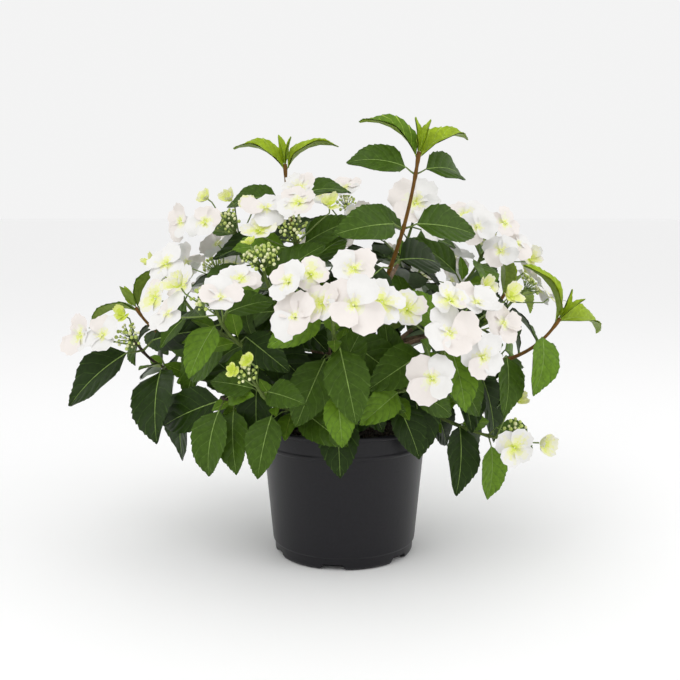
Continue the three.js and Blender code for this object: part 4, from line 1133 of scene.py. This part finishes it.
class HYDRANGEA_OT_compost(bpy.types.Operator):
    """Fills the pot with compost, rough on top, with loose crumbs on it"""

    bl_idname = "hydrangea.compost"
    bl_label = "Compost"

    def execute(self, context):
        looks = context.scene.hydrangea_pot
        rough = np.random.default_rng(5)
        foot = WALL_FOOT_RADIUS - WALL_THICKNESS - 2 - GAP * 2
        edge = WALL_TOP_RADIUS - 4
        profile = [(0, FLOOR_THICKNESS + GAP), (foot, FLOOR_THICKNESS + GAP), (edge - 1, BAND_BOTTOM - 4)]
        rings = 16
        for i in range(rings + 1):
            share = 1 - i / rings
            profile.append((edge * share, COMPOST_TOP - COMPOST_CROWN * share * share - 1.5))
        bm = turned(profile, COMPOST_SIDES)
        for vert in bm.verts:
            if vert.co.z > (BAND_BOTTOM + 2) * MM:
                vert.co.z += rough.uniform(-1.1, 1.1) * MM
        mesh = smooth_mesh(bm, "compost_bed")
        mesh.materials.append(self.soil(looks, "compost_soil", 1))
        bed = link("compost_bed", mesh)
        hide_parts("compost")
        self.crumbs(looks, rough, edge)
        return {"FINISHED"}

    def crumbs(self, looks, rough, edge):
        heap = Heap()
        bm = bmesh.new()
        bmesh.ops.create_icosphere(bm, subdivisions=1, radius=1)
        lump = np.array([vert.co for vert in bm.verts])
        faces = [[vert.index for vert in face.verts] for face in bm.faces]
        bm.free()
        for _ in range(looks.crumbs):
            reach = (edge - 3) * math.sqrt(rough.uniform(0.05, 1))
            angle = rough.uniform(0, 2 * math.pi)
            share = reach / edge
            height = COMPOST_TOP - COMPOST_CROWN * share * share - 1
            size = rough.uniform(0.7, 2.6)
            stretch = size * rough.uniform((0.8, 0.5, 0.4), (1.5, 1, 0.8))
            turn = np.array(Matrix.Rotation(rough.uniform(0, math.pi), 3, "Z"))
            knob = lump * rough.uniform(0.75, 1.2, (len(lump), 1)) * stretch @ turn.T
            place = np.array((reach * math.cos(angle), reach * math.sin(angle), height))
            heap.add(knob + place, faces, int(rough.integers(0, 3)))
        shades = [self.soil(looks, "crumb_%d" % i, factor) for i, factor in enumerate(CRUMB_TONES)]
        crumbs = heap.build("compost_crumbs", shades)

    @staticmethod
    def soil(looks, name, factor):
        material = new_material(name, shade(looks.compost, factor), 0.95)
        noise = add_noise_bump(material, *SOIL_RELIEF)
        dark, light = (shade(looks.compost, factor * tone) for tone in SOIL_TONES)
        add_mottle(material, noise, dark, light)
        return material


class HYDRANGEA_OT_wood(bpy.types.Operator):
    """Builds the woody crown and the boughs, with the relief of their bark"""

    bl_idname = "hydrangea.wood"
    bl_label = "Crown and boughs"

    def execute(self, context):
        looks = context.scene.hydrangea_wood
        bark = mottled("bark", looks.bark, 0.85, BARK_RELIEF, BARK_TONES)
        self.crown(bark)
        self.boughs(looks, bark)
        return {"FINISHED"}

    @staticmethod
    def crown(bark):
        rough = np.random.default_rng(9)
        sides, levels = 40, 15
        bm = bmesh.new()
        ridges = rough.normal(0, 0.5, sides) + 0.9 * np.sin(np.arange(sides) / sides * 2 * math.pi * 7)
        shares = np.array([share for share, _ in CROWN_LEVELS])
        radii = np.array([radius for _, radius in CROWN_LEVELS])
        circle = bmesh.ops.create_circle(bm, cap_ends=False, segments=sides, radius=1)["verts"]
        start = [vert.co.copy() for vert in circle]
        ring = list(circle)
        for level in range(levels + 1):
            share = level / levels
            if level:
                edges = [edge for edge in bm.edges if all(vert in ring for vert in edge.verts)]
                made = bmesh.ops.extrude_edge_only(bm, edges=edges)["geom"]
                verts = [part for part in made if isinstance(part, bmesh.types.BMVert)]
                pairs = {tuple(round(c, 6) for c in vert.co): vert for vert in verts}
                ring = [pairs[tuple(round(c, 6) for c in vert.co)] for vert in ring]
            radius = float(np.interp(share, shares, radii)) - 0.6
            height = COMPOST_TOP + GAP + share * CROWN_HEIGHT
            centre = Vector((CROWN_LEAN[0] * share, CROWN_LEAN[1] * share, height))
            for i, vert in enumerate(ring):
                out = radius + ridges[i] * (0.6 + 0.4 * share) + rough.uniform(-0.25, 0.25)
                vert.co = (centre + start[i] * out) * MM
        bmesh.ops.holes_fill(bm, edges=[edge for edge in bm.edges if edge.is_boundary])
        bmesh.ops.recalc_face_normals(bm, faces=bm.faces)
        mesh = smooth_mesh(bm, "crown_wood")
        mesh.materials.append(bark)
        crown = link("crown_wood", mesh)
        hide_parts("woody_crown")

    @staticmethod
    def boughs(looks, bark):
        rough = np.random.default_rng(10)
        heap = Heap()
        sides = 12
        names = []
        for mass in shrub_masses():
            if mass["low"]:
                continue
            names.append(mass["name"] + "_bough")
            shares = np.linspace(0, mass["split"], looks.rings)
            path = mass["curve"].points(shares)
            radii = np.linspace(mass["foot_radius"], STEM_FOOT_RADIUS, looks.rings)
            swell = 1 + 0.1 * (np.arange(looks.rings) % 5 == 0)
            radii = radii * swell * rough.uniform(0.96, 1.04, looks.rings)
            points = tube_points(path, radii, sides, mass["across"]).reshape(looks.rings, sides, 3)
            centres = points.mean(1, keepdims=True)
            ridge = 1 + 0.06 * rough.normal(0, 1, (1, sides, 1))
            ridge = ridge + 0.03 * rough.normal(0, 1, (looks.rings, sides, 1))
            heap.add(centres + (points - centres) * ridge, tube_faces(looks.rings, sides), 0)
        boughs = heap.build("bough_bark", [bark])
        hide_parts(*names)


class HYDRANGEA_OT_stems(bpy.types.Operator):
    """Builds the leafy stems with their nodes, the side twigs, leaf stalks and midribs"""

    bl_idname = "hydrangea.stems"
    bl_label = "Stems and stalks"

    def execute(self, context):
        looks = context.scene.hydrangea_wood
        leaf_looks = context.scene.hydrangea_leaf
        finishes = [self.skin("stem_green", looks.green), self.skin("stem_red", looks.red),
                    self.skin("stem_dark", looks.dark)]
        slots = {"green": 0, "red": 1, "dark": 2}
        stems = Heap()
        stalks = Heap()
        for mass in shrub_masses():
            slot = slots[mass["shoot"].get("bark", "green")]
            self.stem(stems, mass, slot)
            for root, tip in mass["twigs"]:
                middle = (root + tip) / 2 + UP * 1.2
                add_tube(stems, [root, middle, tip], [TWIG_RADIUS, TWIG_RADIUS * 0.85, TWIG_RADIUS * 0.8],
                         STALK_SIDES, 0)
            for leaf in mass["leaves"]:
                self.stalk(stalks, leaf)
        names = [mass["name"] for mass in shrub_masses()]
        piece = stems.build("leafy_stems", finishes)
        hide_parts(*names)
        ribs = [self.skin("leaf_stalk", looks.green), self.skin("midrib", leaf_looks.midrib),
                self.skin("young_midrib", leaf_looks.young_vein)]
        piece = stalks.build("leaf_stalks", ribs)
        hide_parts(*names)
        return {"FINISHED"}

    @staticmethod
    def skin(name, colour):
        return mottled(name, colour, 0.5, STEM_RELIEF, STEM_TONES, Specular_IOR_Level=STEM_GLOSS)

    @staticmethod
    def stem(heap, mass, slot):
        curve, start = mass["curve"], mass["stem_start"]
        length = curve.length * (1 - start)
        count = max(LEAST_RINGS, int(length / STEM_STEP))
        shares = np.linspace(start, 1, count)
        radii = np.linspace(STEM_FOOT_RADIUS, STEM_TIP_RADIUS, count)
        for t in mass["nodes"]:
            radii = radii * (1 + NODE_SWELL * np.exp(-(((shares - t) * curve.length / NODE_REACH) ** 2)))
        path = curve.points(shares)
        if "bud_foot" in mass:
            path = np.vstack((path, mass["bud_foot"]))
            radii = np.append(radii, STEM_TIP_RADIUS * 0.9)
        points = tube_points(path, radii, STEM_SIDES, mass["across"])
        heap.add(points, tube_faces(len(path), STEM_SIDES), slot)

    @staticmethod
    def stalk(heap, leaf):
        """The stalk runs on under the blade as its midrib."""
        shares = np.linspace(0, RIB_END, RIB_PIECES + 1)
        rib = blade_points(leaf, shares, np.zeros(len(shares)))
        middle = (leaf["root"] + leaf["base"]) / 2 + DOWN * STALK_SAG
        scale = min(leaf["length"] / STALK_LEAF, MOST_STALK)
        path = np.vstack((leaf["root"], middle, rib))
        radii = np.concatenate((STALK_RADII, np.linspace(RIB_RADIUS, RIB_TIP_RADIUS, len(rib)))) * scale
        count = len(path)
        young = leaf.get("age", USUAL_AGE) < YOUNG_AGES
        slots = np.full(count - 1, 2 if young else 1)
        slots[:2] = 0
        across = square_to(leaf["left"], unit(path[-1] - path[0]))
        faces = tube_faces(count, STALK_SIDES)
        face_slots = list(np.repeat(slots, STALK_SIDES)) + [0, 1]
        heap.add(tube_points(path, radii, STALK_SIDES, across), faces, [int(s) for s in face_slots])


class HYDRANGEA_OT_leaves(bpy.types.Operator):
    """Builds the leaf blades: toothed, folded along the midrib and quilted between their veins"""

    bl_idname = "hydrangea.leaves"
    bl_label = "Leaf blades"

    def execute(self, context):
        looks = context.scene.hydrangea_leaf
        rough = np.random.default_rng(21)
        heap = Heap()
        templates = {pairs: self.template(pairs) for pairs in (VEIN_PAIRS, FINE_VEIN_PAIRS)}
        for mass in shrub_masses():
            for leaf in mass["leaves"]:
                pairs = FINE_VEIN_PAIRS if leaf.get("fine") or leaf["length"] < FINE_LEAF else VEIN_PAIRS
                self.blade(heap, leaf, templates[pairs], rough)
        blades = heap.build("leaf_blades", self.finishes(looks))
        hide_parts(*[mass["name"] for mass in shrub_masses()])
        return {"FINISHED"}

    @staticmethod
    def finishes(looks):
        colours = {"leaf_old": looks.old, "leaf_grown": looks.grown, "leaf_fresh": looks.fresh,
                   "leaf_tip": looks.tip, "vein": looks.vein, "young_vein": looks.young_vein,
                   "leaf_under": looks.under, "young_under": looks.young_under,
                   "old_vein": looks.old_vein}
        return [mottled(name, colour, looks.gloss, LEAF_RELIEF, LEAF_TONES, Specular_IOR_Level=LEAF_GLOSS)
                for name, colour in colours.items()]

    @staticmethod
    def template(pairs):
        """The lines across a blade: each runs from the midrib out along a vein, or between two veins."""
        gap = 1 / (pairs + 0.5)
        lines = [(0.0, 0, 0.2)]
        for k in range(pairs):
            centre = (k + 0.7) * gap
            lines += [(centre, -1, -0.3), (centre, 1, -0.3), (centre + 0.36 * gap, 0, 0.9),
                      (centre + 0.68 * gap, 0, 0.9)]
        columns = np.array(BLADE_COLUMNS)
        shares = np.array([share for share, _, _ in lines])[:, None]
        side = np.array([side for _, side, _ in lines])[:, None]
        shares = np.clip(shares + side * VEIN_HALF * (1 - 0.7 * columns[None, :]), 0, 1)
        u = HYDRANGEA_OT_leaves.along_veins(shares, columns)
        margin = u[:, -1].copy()
        teeth = np.arange(len(lines)) % 2 == 1
        step = np.diff(np.append(margin, 1))
        u[:, -1] = margin + np.where(teeth, TOOTH_LEAN, 0) * step
        faces, veins = HYDRANGEA_OT_leaves.sheet_faces(len(lines), len(columns), side[:, 0])
        rise = np.array([rise for _, _, rise in lines])
        under_columns = np.array(UNDER_COLUMNS)
        under_shares = np.linspace(0, 1 - 0.5 * gap, pairs + 1)[:, None] + 0 * under_columns[None, :]
        under = HYDRANGEA_OT_leaves.along_veins(under_shares, under_columns)
        under_faces, _ = HYDRANGEA_OT_leaves.sheet_faces(pairs + 1, len(under_columns), np.zeros(pairs + 1))
        return dict(u=u, columns=columns, faces=faces, veins=veins, rise=rise, teeth=teeth, under=under,
                    under_columns=under_columns, under_faces=under_faces)

    @staticmethod
    def along_veins(shares, columns):
        root = shares**VEIN_SLANT
        margin = 1 - (1 - shares) ** VEIN_SLANT
        return root + (margin - root) * columns[None, :] ** 1.2

    @staticmethod
    def sheet_faces(rows, across, side):
        """Quads between the lines and triangles to the tip, and which of them lie on a vein."""
        faces, veins = [], []
        for row in range(rows - 1):
            for column in range(across - 1):
                low, high = row * across + column, (row + 1) * across + column
                faces.append((low, low + 1, high + 1, high))
                veins.append(bool(side[row] < 0 < side[row + 1]))
        last = (rows - 1) * across
        for column in range(across - 1):
            faces.append((last + column, last + column + 1, rows * across))
            veins.append(False)
        return faces, veins

    def blade(self, heap, leaf, template, rough):
        u, columns = template["u"], template["columns"]
        length = leaf["length"]
        young = leaf.get("age", USUAL_AGE) < YOUNG_AGES
        phase = rough.uniform(0, 2 * math.pi, 2)
        depth = QUILT * length * (YOUNG_QUILT if young else 1)
        quilt = template["rise"][:, None] * np.array(QUILT_COLUMNS)[None, :] * depth
        tooth = np.where(template["teeth"], TOOTH_OUT, TOOTH_BACK) * TOOTH * length
        tooth = tooth * rough.uniform(*TOOTH_RANGE, len(tooth))
        body, vein = self.slots_of(leaf, rough.uniform())
        for sign, shift in ((-1, phase[0]), (1, phase[1])):
            def wave(places, across):
                turns = np.sin(2 * math.pi * WAVES * places + shift)
                return WAVE * length * turns * across[None, :] ** 2

            half = 0.5 * length * leaf["wide"] * leaf_shape(np.clip(u[:, -1], 0, 1))
            spread = np.repeat(columns[None, :], len(u), axis=0)
            spread[:, -1] = 1 + np.clip(tooth / np.maximum(half, 3), -0.2, 0.2)
            points = blade_points(leaf, u, sign * spread, quilt + wave(u, columns)).reshape(-1, 3)
            points = np.vstack((points, blade_points(leaf, 1, 0)))
            faces = template["faces"] if sign > 0 else [face[::-1] for face in template["faces"]]
            heap.add(points, faces, [vein if is_vein else body for is_vein in template["veins"]])
            under, across = template["under"], template["under_columns"]
            spread = sign * np.repeat(across[None, :], len(under), axis=0)
            points = blade_points(leaf, under, spread, wave(under, across) - UNDER_DROP).reshape(-1, 3)
            points = np.vstack((points, blade_points(leaf, 0.99, 0, -UNDER_DROP)))
            faces = template["under_faces"] if sign < 0 else [face[::-1] for face in template["under_faces"]]
            heap.add(points, faces, 7 if young else 6)

    @staticmethod
    def slots_of(leaf, tone):
        """Finish of a blade and of its veins, by its age and by chance."""
        age = leaf.get("age", USUAL_AGE)
        if leaf.get("fine"):
            return 2, 4
        if age == 0:
            return 3, 5
        if age == 1:
            return (3 if tone < 0.6 else 2), 5
        if age == 2:
            return (2 if tone < 0.5 else 1), 4
        return (1, 4) if tone < 0.5 else (0, 8)


class HYDRANGEA_OT_blossom(bpy.types.Operator):
    """Builds the showy florets, each of four broad overlapping sepals on its stalk"""

    bl_idname = "hydrangea.blossom"
    bl_label = "Florets"

    def execute(self, context):
        looks = context.scene.hydrangea_blossom
        wood = context.scene.hydrangea_wood
        rough = np.random.default_rng(31)
        petals, stalks = Heap(), Heap()
        for mass in shrub_masses():
            for floret in mass["florets"]:
                self.floret(petals, floret, looks, rough)
                foot, centre = floret["foot"], floret["centre"]
                bow = np.cross(floret["normal"], unit(centre - foot)) * 2
                under = centre - floret["normal"] * FLORET_THICKNESS
                near = under - floret["normal"] * 7
                path = [foot, (foot * 2 + near) / 3 + bow, (foot + near * 2) / 3 + bow, near, under]
                add_tube(stalks, path, (1, 0.85, 0.8, 0.8, 0.9), STALK_SIDES, 0)
        names = [mass["name"] for mass in shrub_masses() if not mass["shoot"].get("leafy")]
        piece = petals.build("sepals", self.finishes(looks))
        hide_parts(*names)
        green = new_material("floret_stalk", shade(wood.green, 1.6), 0.5)
        add_noise_bump(green, *RAY_RELIEF)
        piece = stalks.build("floret_stalks", [green])
        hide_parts(*names)
        return {"FINISHED"}

    @staticmethod
    def finishes(looks):
        made = []
        for name, colour in (("sepal_white", looks.white), ("sepal_blush", looks.blush),
                             ("sepal_ivory", looks.ivory), ("sepal_cream", looks.cream),
                             ("sepal_lime", looks.lime), ("sepal_base", looks.base)):
            # Each sepal finish also emits its own colour evenly: a painted glow that stands in for light
            # through the thin sepals and brightens their shaded backs.
            material = new_material(name, colour, 0.62, Emission_Color=(*colour, 1),
                                    Emission_Strength=looks.painted_glow)
            add_noise_bump(material, *SEPAL_RELIEF)
            made.append(material)
        return made

    @staticmethod
    def floret(heap, floret, looks, rough):
        """Four sepals, broad enough to overlap: the second and fourth lie over the first and third."""
        rows = np.array(SEPAL_ROWS)
        columns = np.linspace(-1, 1, SEPAL_COLUMNS)
        f, v = np.meshgrid(rows, columns, indexing="ij")
        radius = floret["radius"]
        faces = []
        for row in range(len(rows) - 1):
            for column in range(len(columns) - 1):
                low = row * len(columns) + column
                high = low + len(columns)
                faces.append((low, high, high + 1, low + 1))
        ripeness = np.interp(2 * radius, *SEPAL_RIPE) * rough.uniform(*RIPE_SPREAD)
        crest = np.where(np.arange(SEPAL_COLUMNS) % 2 == 0, 1, -1)
        for sepal in range(SEPALS):
            over = sepal % 2
            body = 1 if rough.uniform() < BLUSH_CHANCE else 0
            size = rough.uniform(*SEPAL_SIZES)
            fan = np.radians(SEPAL_FAN[0] - SEPAL_FAN[1] * f**2) * v
            edge = looks.crenation * f**5 * crest * rough.uniform(0.4, 1.2, SEPAL_COLUMNS)
            rim = 1 - SEPAL_ROUND[0] * np.abs(v) ** SEPAL_ROUND[1] - SEPAL_NOTCH * (1 - np.abs(v)) ** 2 + edge
            out = radius * size * f * rim
            tilt = floret["cup"] * SEPAL_CUP + rough.uniform(*SEPAL_TILTS)
            bend = tilt * (0.6 + 0.5 * f)
            reach, rise = out * np.cos(bend), out * np.sin(bend)
            angle = math.radians(floret["spin"] + sepal * 90 + rough.uniform(-6, 6)) + fan
            phase = rough.uniform(0, 2 * math.pi)
            twist = rough.uniform(-SEPAL_TWIST, SEPAL_TWIST)
            rise = rise + radius * (twist * v * f + 0.05 * np.sin(2.2 * math.pi * v + phase) * f**2)
            rise += radius * (0.04 * np.sin(3 * math.pi * f + phase) + 0.22 * f * (1 - f) * (0.4 + v**2))
            rise += over * (0.5 + 0.7 * f) + SEPAL_PLEAT * crest * f
            points = (floret["centre"] + (reach * np.cos(angle))[..., None] * floret["side"]
                      + (reach * np.sin(angle))[..., None] * floret["above"]
                      + rise[..., None] * floret["normal"])
            share = (rows[:-1] + rows[1:])[:, None] / 2 * (1 + 0.5 * np.abs(columns[:-1] + columns[1:]) / 2)
            share = share * ripeness * rough.uniform(0.8, 1.25, share.shape)
            slots = 5 - np.digitize(share, SEPAL_TONES)
            slots = np.where(slots < 2, body, slots).ravel()
            heap.add(points.reshape(-1, 3), faces, [int(slot) for slot in slots])


class HYDRANGEA_OT_buds(bpy.types.Operator):
    """Builds the cushions of fertile buds in the middle of the heads, each bud on its own stalk"""

    bl_idname = "hydrangea.buds"
    bl_label = "Fertile buds"

    def execute(self, context):
        looks = context.scene.hydrangea_blossom
        wood = context.scene.hydrangea_wood
        rough = np.random.default_rng(41)
        beads, stalks = Heap(), Heap()
        bm = bmesh.new()
        bmesh.ops.create_uvsphere(bm, u_segments=6, v_segments=4, radius=1)
        ball = np.array([vert.co for vert in bm.verts])
        faces = [[vert.index for vert in face.verts] for face in bm.faces]
        bm.free()
        for mass in shrub_masses():
            if "bud_foot" in mass:
                self.cushion(beads, stalks, mass, ball, faces, rough)
            for floret in mass["florets"]:
                eye = ball * np.array((1.3, 1.3, 1.1)) * min(floret["radius"] / 22, 1.1)
                lift = floret["normal"] * floret["radius"] * 0.05
                beads.add(eye + floret["centre"] + lift, faces, 1)
        names = [mass["name"] for mass in shrub_masses() if "bud_foot" in mass]
        finishes = []
        for name, colour in (("bud_green", looks.bud), ("bud_pale", looks.pale_bud)):
            material = new_material(name, colour, 0.45)
            add_noise_bump(material, *BUD_RELIEF)
            finishes.append(material)
        piece = beads.build("fertile_buds", finishes)
        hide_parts(*names)
        green = new_material("bud_stalk", shade(wood.green, 1.9), 0.5)
        add_noise_bump(green, *RAY_RELIEF)
        piece = stalks.build("bud_stalks", [green])
        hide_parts(*names)
        return {"FINISHED"}

    @staticmethod
    def cushion(beads, stalks, mass, ball, faces, rough):
        """Buds over a low dome, dealt out by the golden angle, on stalks that part above the stem's tip."""
        face, radius = mass["face"], mass["shoot"]["buds"]
        side, above = face_sides(face)
        foot = mass["bud_foot"]
        count = int(BUD_FILL * radius * radius / BUD_SPACING**2)
        golden = math.pi * (3 - math.sqrt(5))
        for i in range(count):
            share = math.sqrt((i + 0.5) / count)
            angle = i * golden + rough.uniform(-0.25, 0.25)
            out = side * math.cos(angle) + above * math.sin(angle)
            rise = radius * (0.35 + 0.75 * math.sqrt(1 - 0.85 * share * share)) + rough.uniform(-1.6, 1.4)
            place = foot + out * radius * share * rough.uniform(0.9, 1.08) + face * rise
            fork = foot + out * radius * 0.3 * share + face * radius * 0.25
            size = BUD_RADIUS * rough.uniform(*BUD_SIZES)
            beads.add(ball * size + place, faces, 1 if rough.uniform() < PALE_CHANCE else 0)
            add_tube(stalks, [fork, place - unit(place - fork) * size * 0.6], (0.5, 0.34), 4, 0)
        for i in range(FORK_RAYS):
            angle = i * 2 * math.pi / FORK_RAYS
            out = side * math.cos(angle) + above * math.sin(angle)
            top = foot + out * radius * 0.28 + face * radius * 0.27
            add_tube(stalks, [foot - face * 2, top], (1.1, 0.7), 5, 0)


class HYDRANGEA_OT_stage(bpy.types.Operator):
    """Sets a plain pale floor, soft studio light and the camera at the photograph's angle"""

    bl_idname = "hydrangea.stage"
    bl_label = "Stage"

    CAMERA_PLACE = (-0.0044, -1.056, 0.376)
    CAMERA_PITCH = 82.6  # degrees from straight down
    CAMERA_LENS = 50.5
    KEY_PLACE = (-0.9, -1.5, 1.9)
    KEY_SIZE = 1.5
    SIDE_PLACE = (1.6, -0.6, 1.2)
    SIDE_SIZE = 1.2
    SIDE_SHARE = 0.45  # of the key light's power
    LIGHT_AIM = (0, 0, 0.26)
    FLOOR_DROP = 0.0004

    def execute(self, context):
        looks = context.scene.hydrangea_stage
        scene = context.scene
        bm = bmesh.new()
        bmesh.ops.create_circle(bm, cap_ends=True, segments=96, radius=FLOOR_REACH)
        mesh = bpy.data.meshes.new("floor")
        bm.to_mesh(mesh)
        bm.free()
        floor_material = new_material("floor_matte", looks.floor, 0.9)
        mesh.materials.append(floor_material)
        floor = bpy.data.objects.new("floor", mesh)
        floor.location.z = -self.FLOOR_DROP
        scene.collection.objects.link(floor)

        world = bpy.data.worlds.new("even_sky")
        world.use_nodes = True
        background = world.node_tree.nodes["Background"]
        background.inputs["Color"].default_value = (1, 1, 1, 1)
        background.inputs["Strength"].default_value = looks.fill
        scene.world = world

        self.light(scene, "key_light", self.KEY_PLACE, self.KEY_SIZE, looks.key)
        self.light(scene, "side_light", self.SIDE_PLACE, self.SIDE_SIZE, looks.key * self.SIDE_SHARE)

        camera = bpy.data.cameras.new("photo_camera")
        camera.lens = self.CAMERA_LENS
        camera.sensor_width = 36
        camera.clip_end = 2 * FLOOR_REACH
        placed = bpy.data.objects.new("photo_camera", camera)
        placed.location = self.CAMERA_PLACE
        placed.rotation_euler = (math.radians(self.CAMERA_PITCH), 0, 0)
        scene.collection.objects.link(placed)
        scene.camera = placed
        scene.view_settings.view_transform = "Standard"
        return {"FINISHED"}

    def light(self, scene, name, place, size, power):
        lamp = bpy.data.lights.new(name, "AREA")
        lamp.size = size
        lamp.energy = power
        placed = bpy.data.objects.new(name, lamp)
        placed.location = place
        aim = Vector(self.LIGHT_AIM) - Vector(place)
        placed.rotation_euler = aim.to_track_quat("-Z", "Y").to_euler()
        scene.collection.objects.link(placed)


OPERATORS = (HYDRANGEA_OT_stage, HYDRANGEA_OT_pot, HYDRANGEA_OT_compost, HYDRANGEA_OT_wood,
             HYDRANGEA_OT_stems, HYDRANGEA_OT_leaves, HYDRANGEA_OT_blossom, HYDRANGEA_OT_buds)
GROUPS = {"hydrangea_leaf": LeafLooks, "hydrangea_blossom": BlossomLooks, "hydrangea_wood": WoodLooks,
          "hydrangea_pot": PotLooks, "hydrangea_stage": StageLooks}


class HYDRANGEA_PT_sidebar(bpy.types.Panel):
    """Lists the pieces and their sizes and colours"""

    bl_idname = "HYDRANGEA_PT_sidebar"
    bl_label = "Potted hydrangea"
    bl_space_type = "VIEW_3D"
    bl_region_type = "UI"
    bl_category = "Hydrangea"

    def draw(self, context):
        for operator in OPERATORS:
            self.layout.operator(operator.bl_idname)
        for attribute, group in GROUPS.items():
            box = self.layout.box()
            for key in group.__annotations__:
                box.prop(getattr(context.scene, attribute), key)


def register():
    for group in GROUPS.values():
        bpy.utils.register_class(group)
    for attribute, group in GROUPS.items():
        setattr(bpy.types.Scene, attribute, PointerProperty(type=group))
    for operator in OPERATORS:
        bpy.utils.register_class(operator)
    bpy.utils.register_class(HYDRANGEA_PT_sidebar)


def unregister():
    bpy.utils.unregister_class(HYDRANGEA_PT_sidebar)
    for operator in reversed(OPERATORS):
        bpy.utils.unregister_class(operator)
    for attribute in GROUPS:
        delattr(bpy.types.Scene, attribute)
    for group in GROUPS.values():
        bpy.utils.unregister_class(group)


def main():
    register()
    for operator in OPERATORS:
        section, name = operator.bl_idname.split(".")
        getattr(getattr(bpy.ops, section), name)()


if __name__ == "__main__":
    main()
